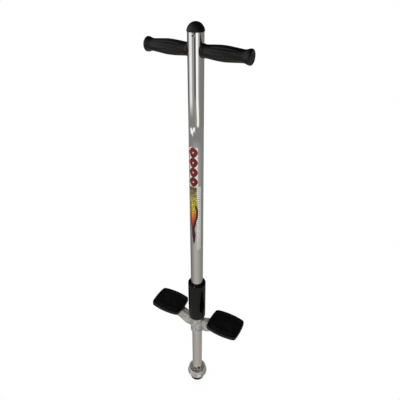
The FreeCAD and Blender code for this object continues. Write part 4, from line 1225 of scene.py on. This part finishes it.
def make_decal():
    """A thin film wrapped on the tube's front, mapped -1..1 across and 0..1 up."""
    bottom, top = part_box("decal")
    columns = 40
    rows = 80
    tools = bmesh.new()
    sheet = tools.loops.layers.uv.new("print")
    faces_of_film = (tube_radius + 0.15 * MM, tube_radius + 0.01 * MM)
    grids = []
    for reach in faces_of_film:
        grid = []
        for row in range(rows + 1):
            line = []
            for column in range(columns + 1):
                turn = DECAL_MIDDLE + DECAL_HALF * (2 * column / columns - 1)
                line.append(tools.verts.new((reach * math.sin(turn), -reach * math.cos(turn),
                                             bottom.z + (top.z - bottom.z) * row / rows)))
            grid.append(line)
        grids.append(grid)

    def face(*corners):
        made = tools.faces.new([grids[g][r][c] for g, r, c in corners])
        for loop, (g, r, c) in zip(made.loops, corners):
            loop[sheet].uv = (2 * c / columns - 1, r / rows)

    for r in range(rows):
        for c in range(columns):
            face((0, r, c), (0, r, c + 1), (0, r + 1, c + 1), (0, r + 1, c))
            face((1, r, c), (1, r + 1, c), (1, r + 1, c + 1), (1, r, c + 1))
        for c in (0, columns):
            face((0, r, c), (0, r + 1, c), (1, r + 1, c), (1, r, c))
    for c in range(columns):
        for r in (0, rows):
            face((0, r, c), (0, r, c + 1), (1, r, c + 1), (1, r, c))
    stand_in("decal", tools, decal_finish("decal_print"), sharp=60)


# ---- put it together -----------------------------------------------------------------------

bpy.context.scene.view_settings.view_transform = "Standard"
make_camera()
make_floor()
make_studio()
make_light("key", from_camera=-55, elevation=48, distance=2.2, size=1.2, power=16)
make_light("fill", from_camera=70, elevation=30, distance=2.4, size=1.4, power=8)

chrome = chrome_finish("chrome_tube", colour(248, 246, 244), 0.018,
                       band=(sleeve_high.z - 1 * MM, sleeve_high.z + 13 * MM))
piston_chrome = chrome_finish("chrome_piston", colour(250, 244, 244), 0.10)
weld = cast_steel_finish("weld_bead", colour(206, 204, 200))
bracket = cast_steel_finish("bracket_steel", colour(222, 220, 216))
screws = plated_screw_finish("fastener_steel", colour(222, 220, 214))
bowl = spun_steel_finish("chrome_foot", colour(246, 243, 240))
grip_rubber = rubber_finish("grip_rubber", colour(9, 6, 8), colour(44, 34, 42),
                            0.25, 0.44, 0.16, 0.10)
pad_rubber = rubber_finish("pad_rubber", colour(7, 7, 7), colour(44, 44, 43), 0.45, 0.35, 0.12)
tip_rubber = rubber_finish("tip_rubber", colour(20, 19, 18), colour(58, 55, 52), 0.7, 0.2, 0.3)
stop_rubber = rubber_finish("stop_rubber", colour(34, 32, 31), colour(60, 58, 56))
cap_plastic = plastic_finish("cap_plastic", colour(8, 8, 8), 0.34, 0.48)
sleeve_plastic = plastic_finish("sleeve_plastic", colour(4, 4, 3), 0.12, 0.36)
ring_plastic = plastic_finish("ring_plastic", colour(6, 6, 6), 0.5, 0.2)
nylon = nylon_finish("nylon")
spring_steel = spring_finish("spring_steel")

paint(chrome, "main_tube", "handlebar")
paint(weld, "handlebar_welds", "arm_welds", "foot_weld")
paint(piston_chrome, "piston_tube")
paint(bracket, "bracket_collar", "right_arm", "left_arm", "upper_spring_seat", "foot_plug",
      "right_pad_insert", "left_pad_insert")
paint(screws, "sleeve_screws", "pad_screws", "cross_pin", "pin_clips", "spring_washer",
      "foot_bolt", "foot_nut", "foot_washers", "tip_stud")
paint(ring_plastic, "sleeve_ring")
paint(nylon, "guide_plug", "lower_bushing")

make_cap(cap_plastic)
make_rivets(screws)
make_grip("right", grip_rubber)
make_grip("left", grip_rubber)
make_pad("right", pad_rubber)
make_pad("left", pad_rubber)
make_sleeve(sleeve_plastic)
make_stop_ring("rebound_ring", stop_rubber)
make_stop_ring("bump_ring", stop_rubber)
make_foot_cup(bowl)
make_tip(tip_rubber)
make_spring(spring_steel)
make_decal()
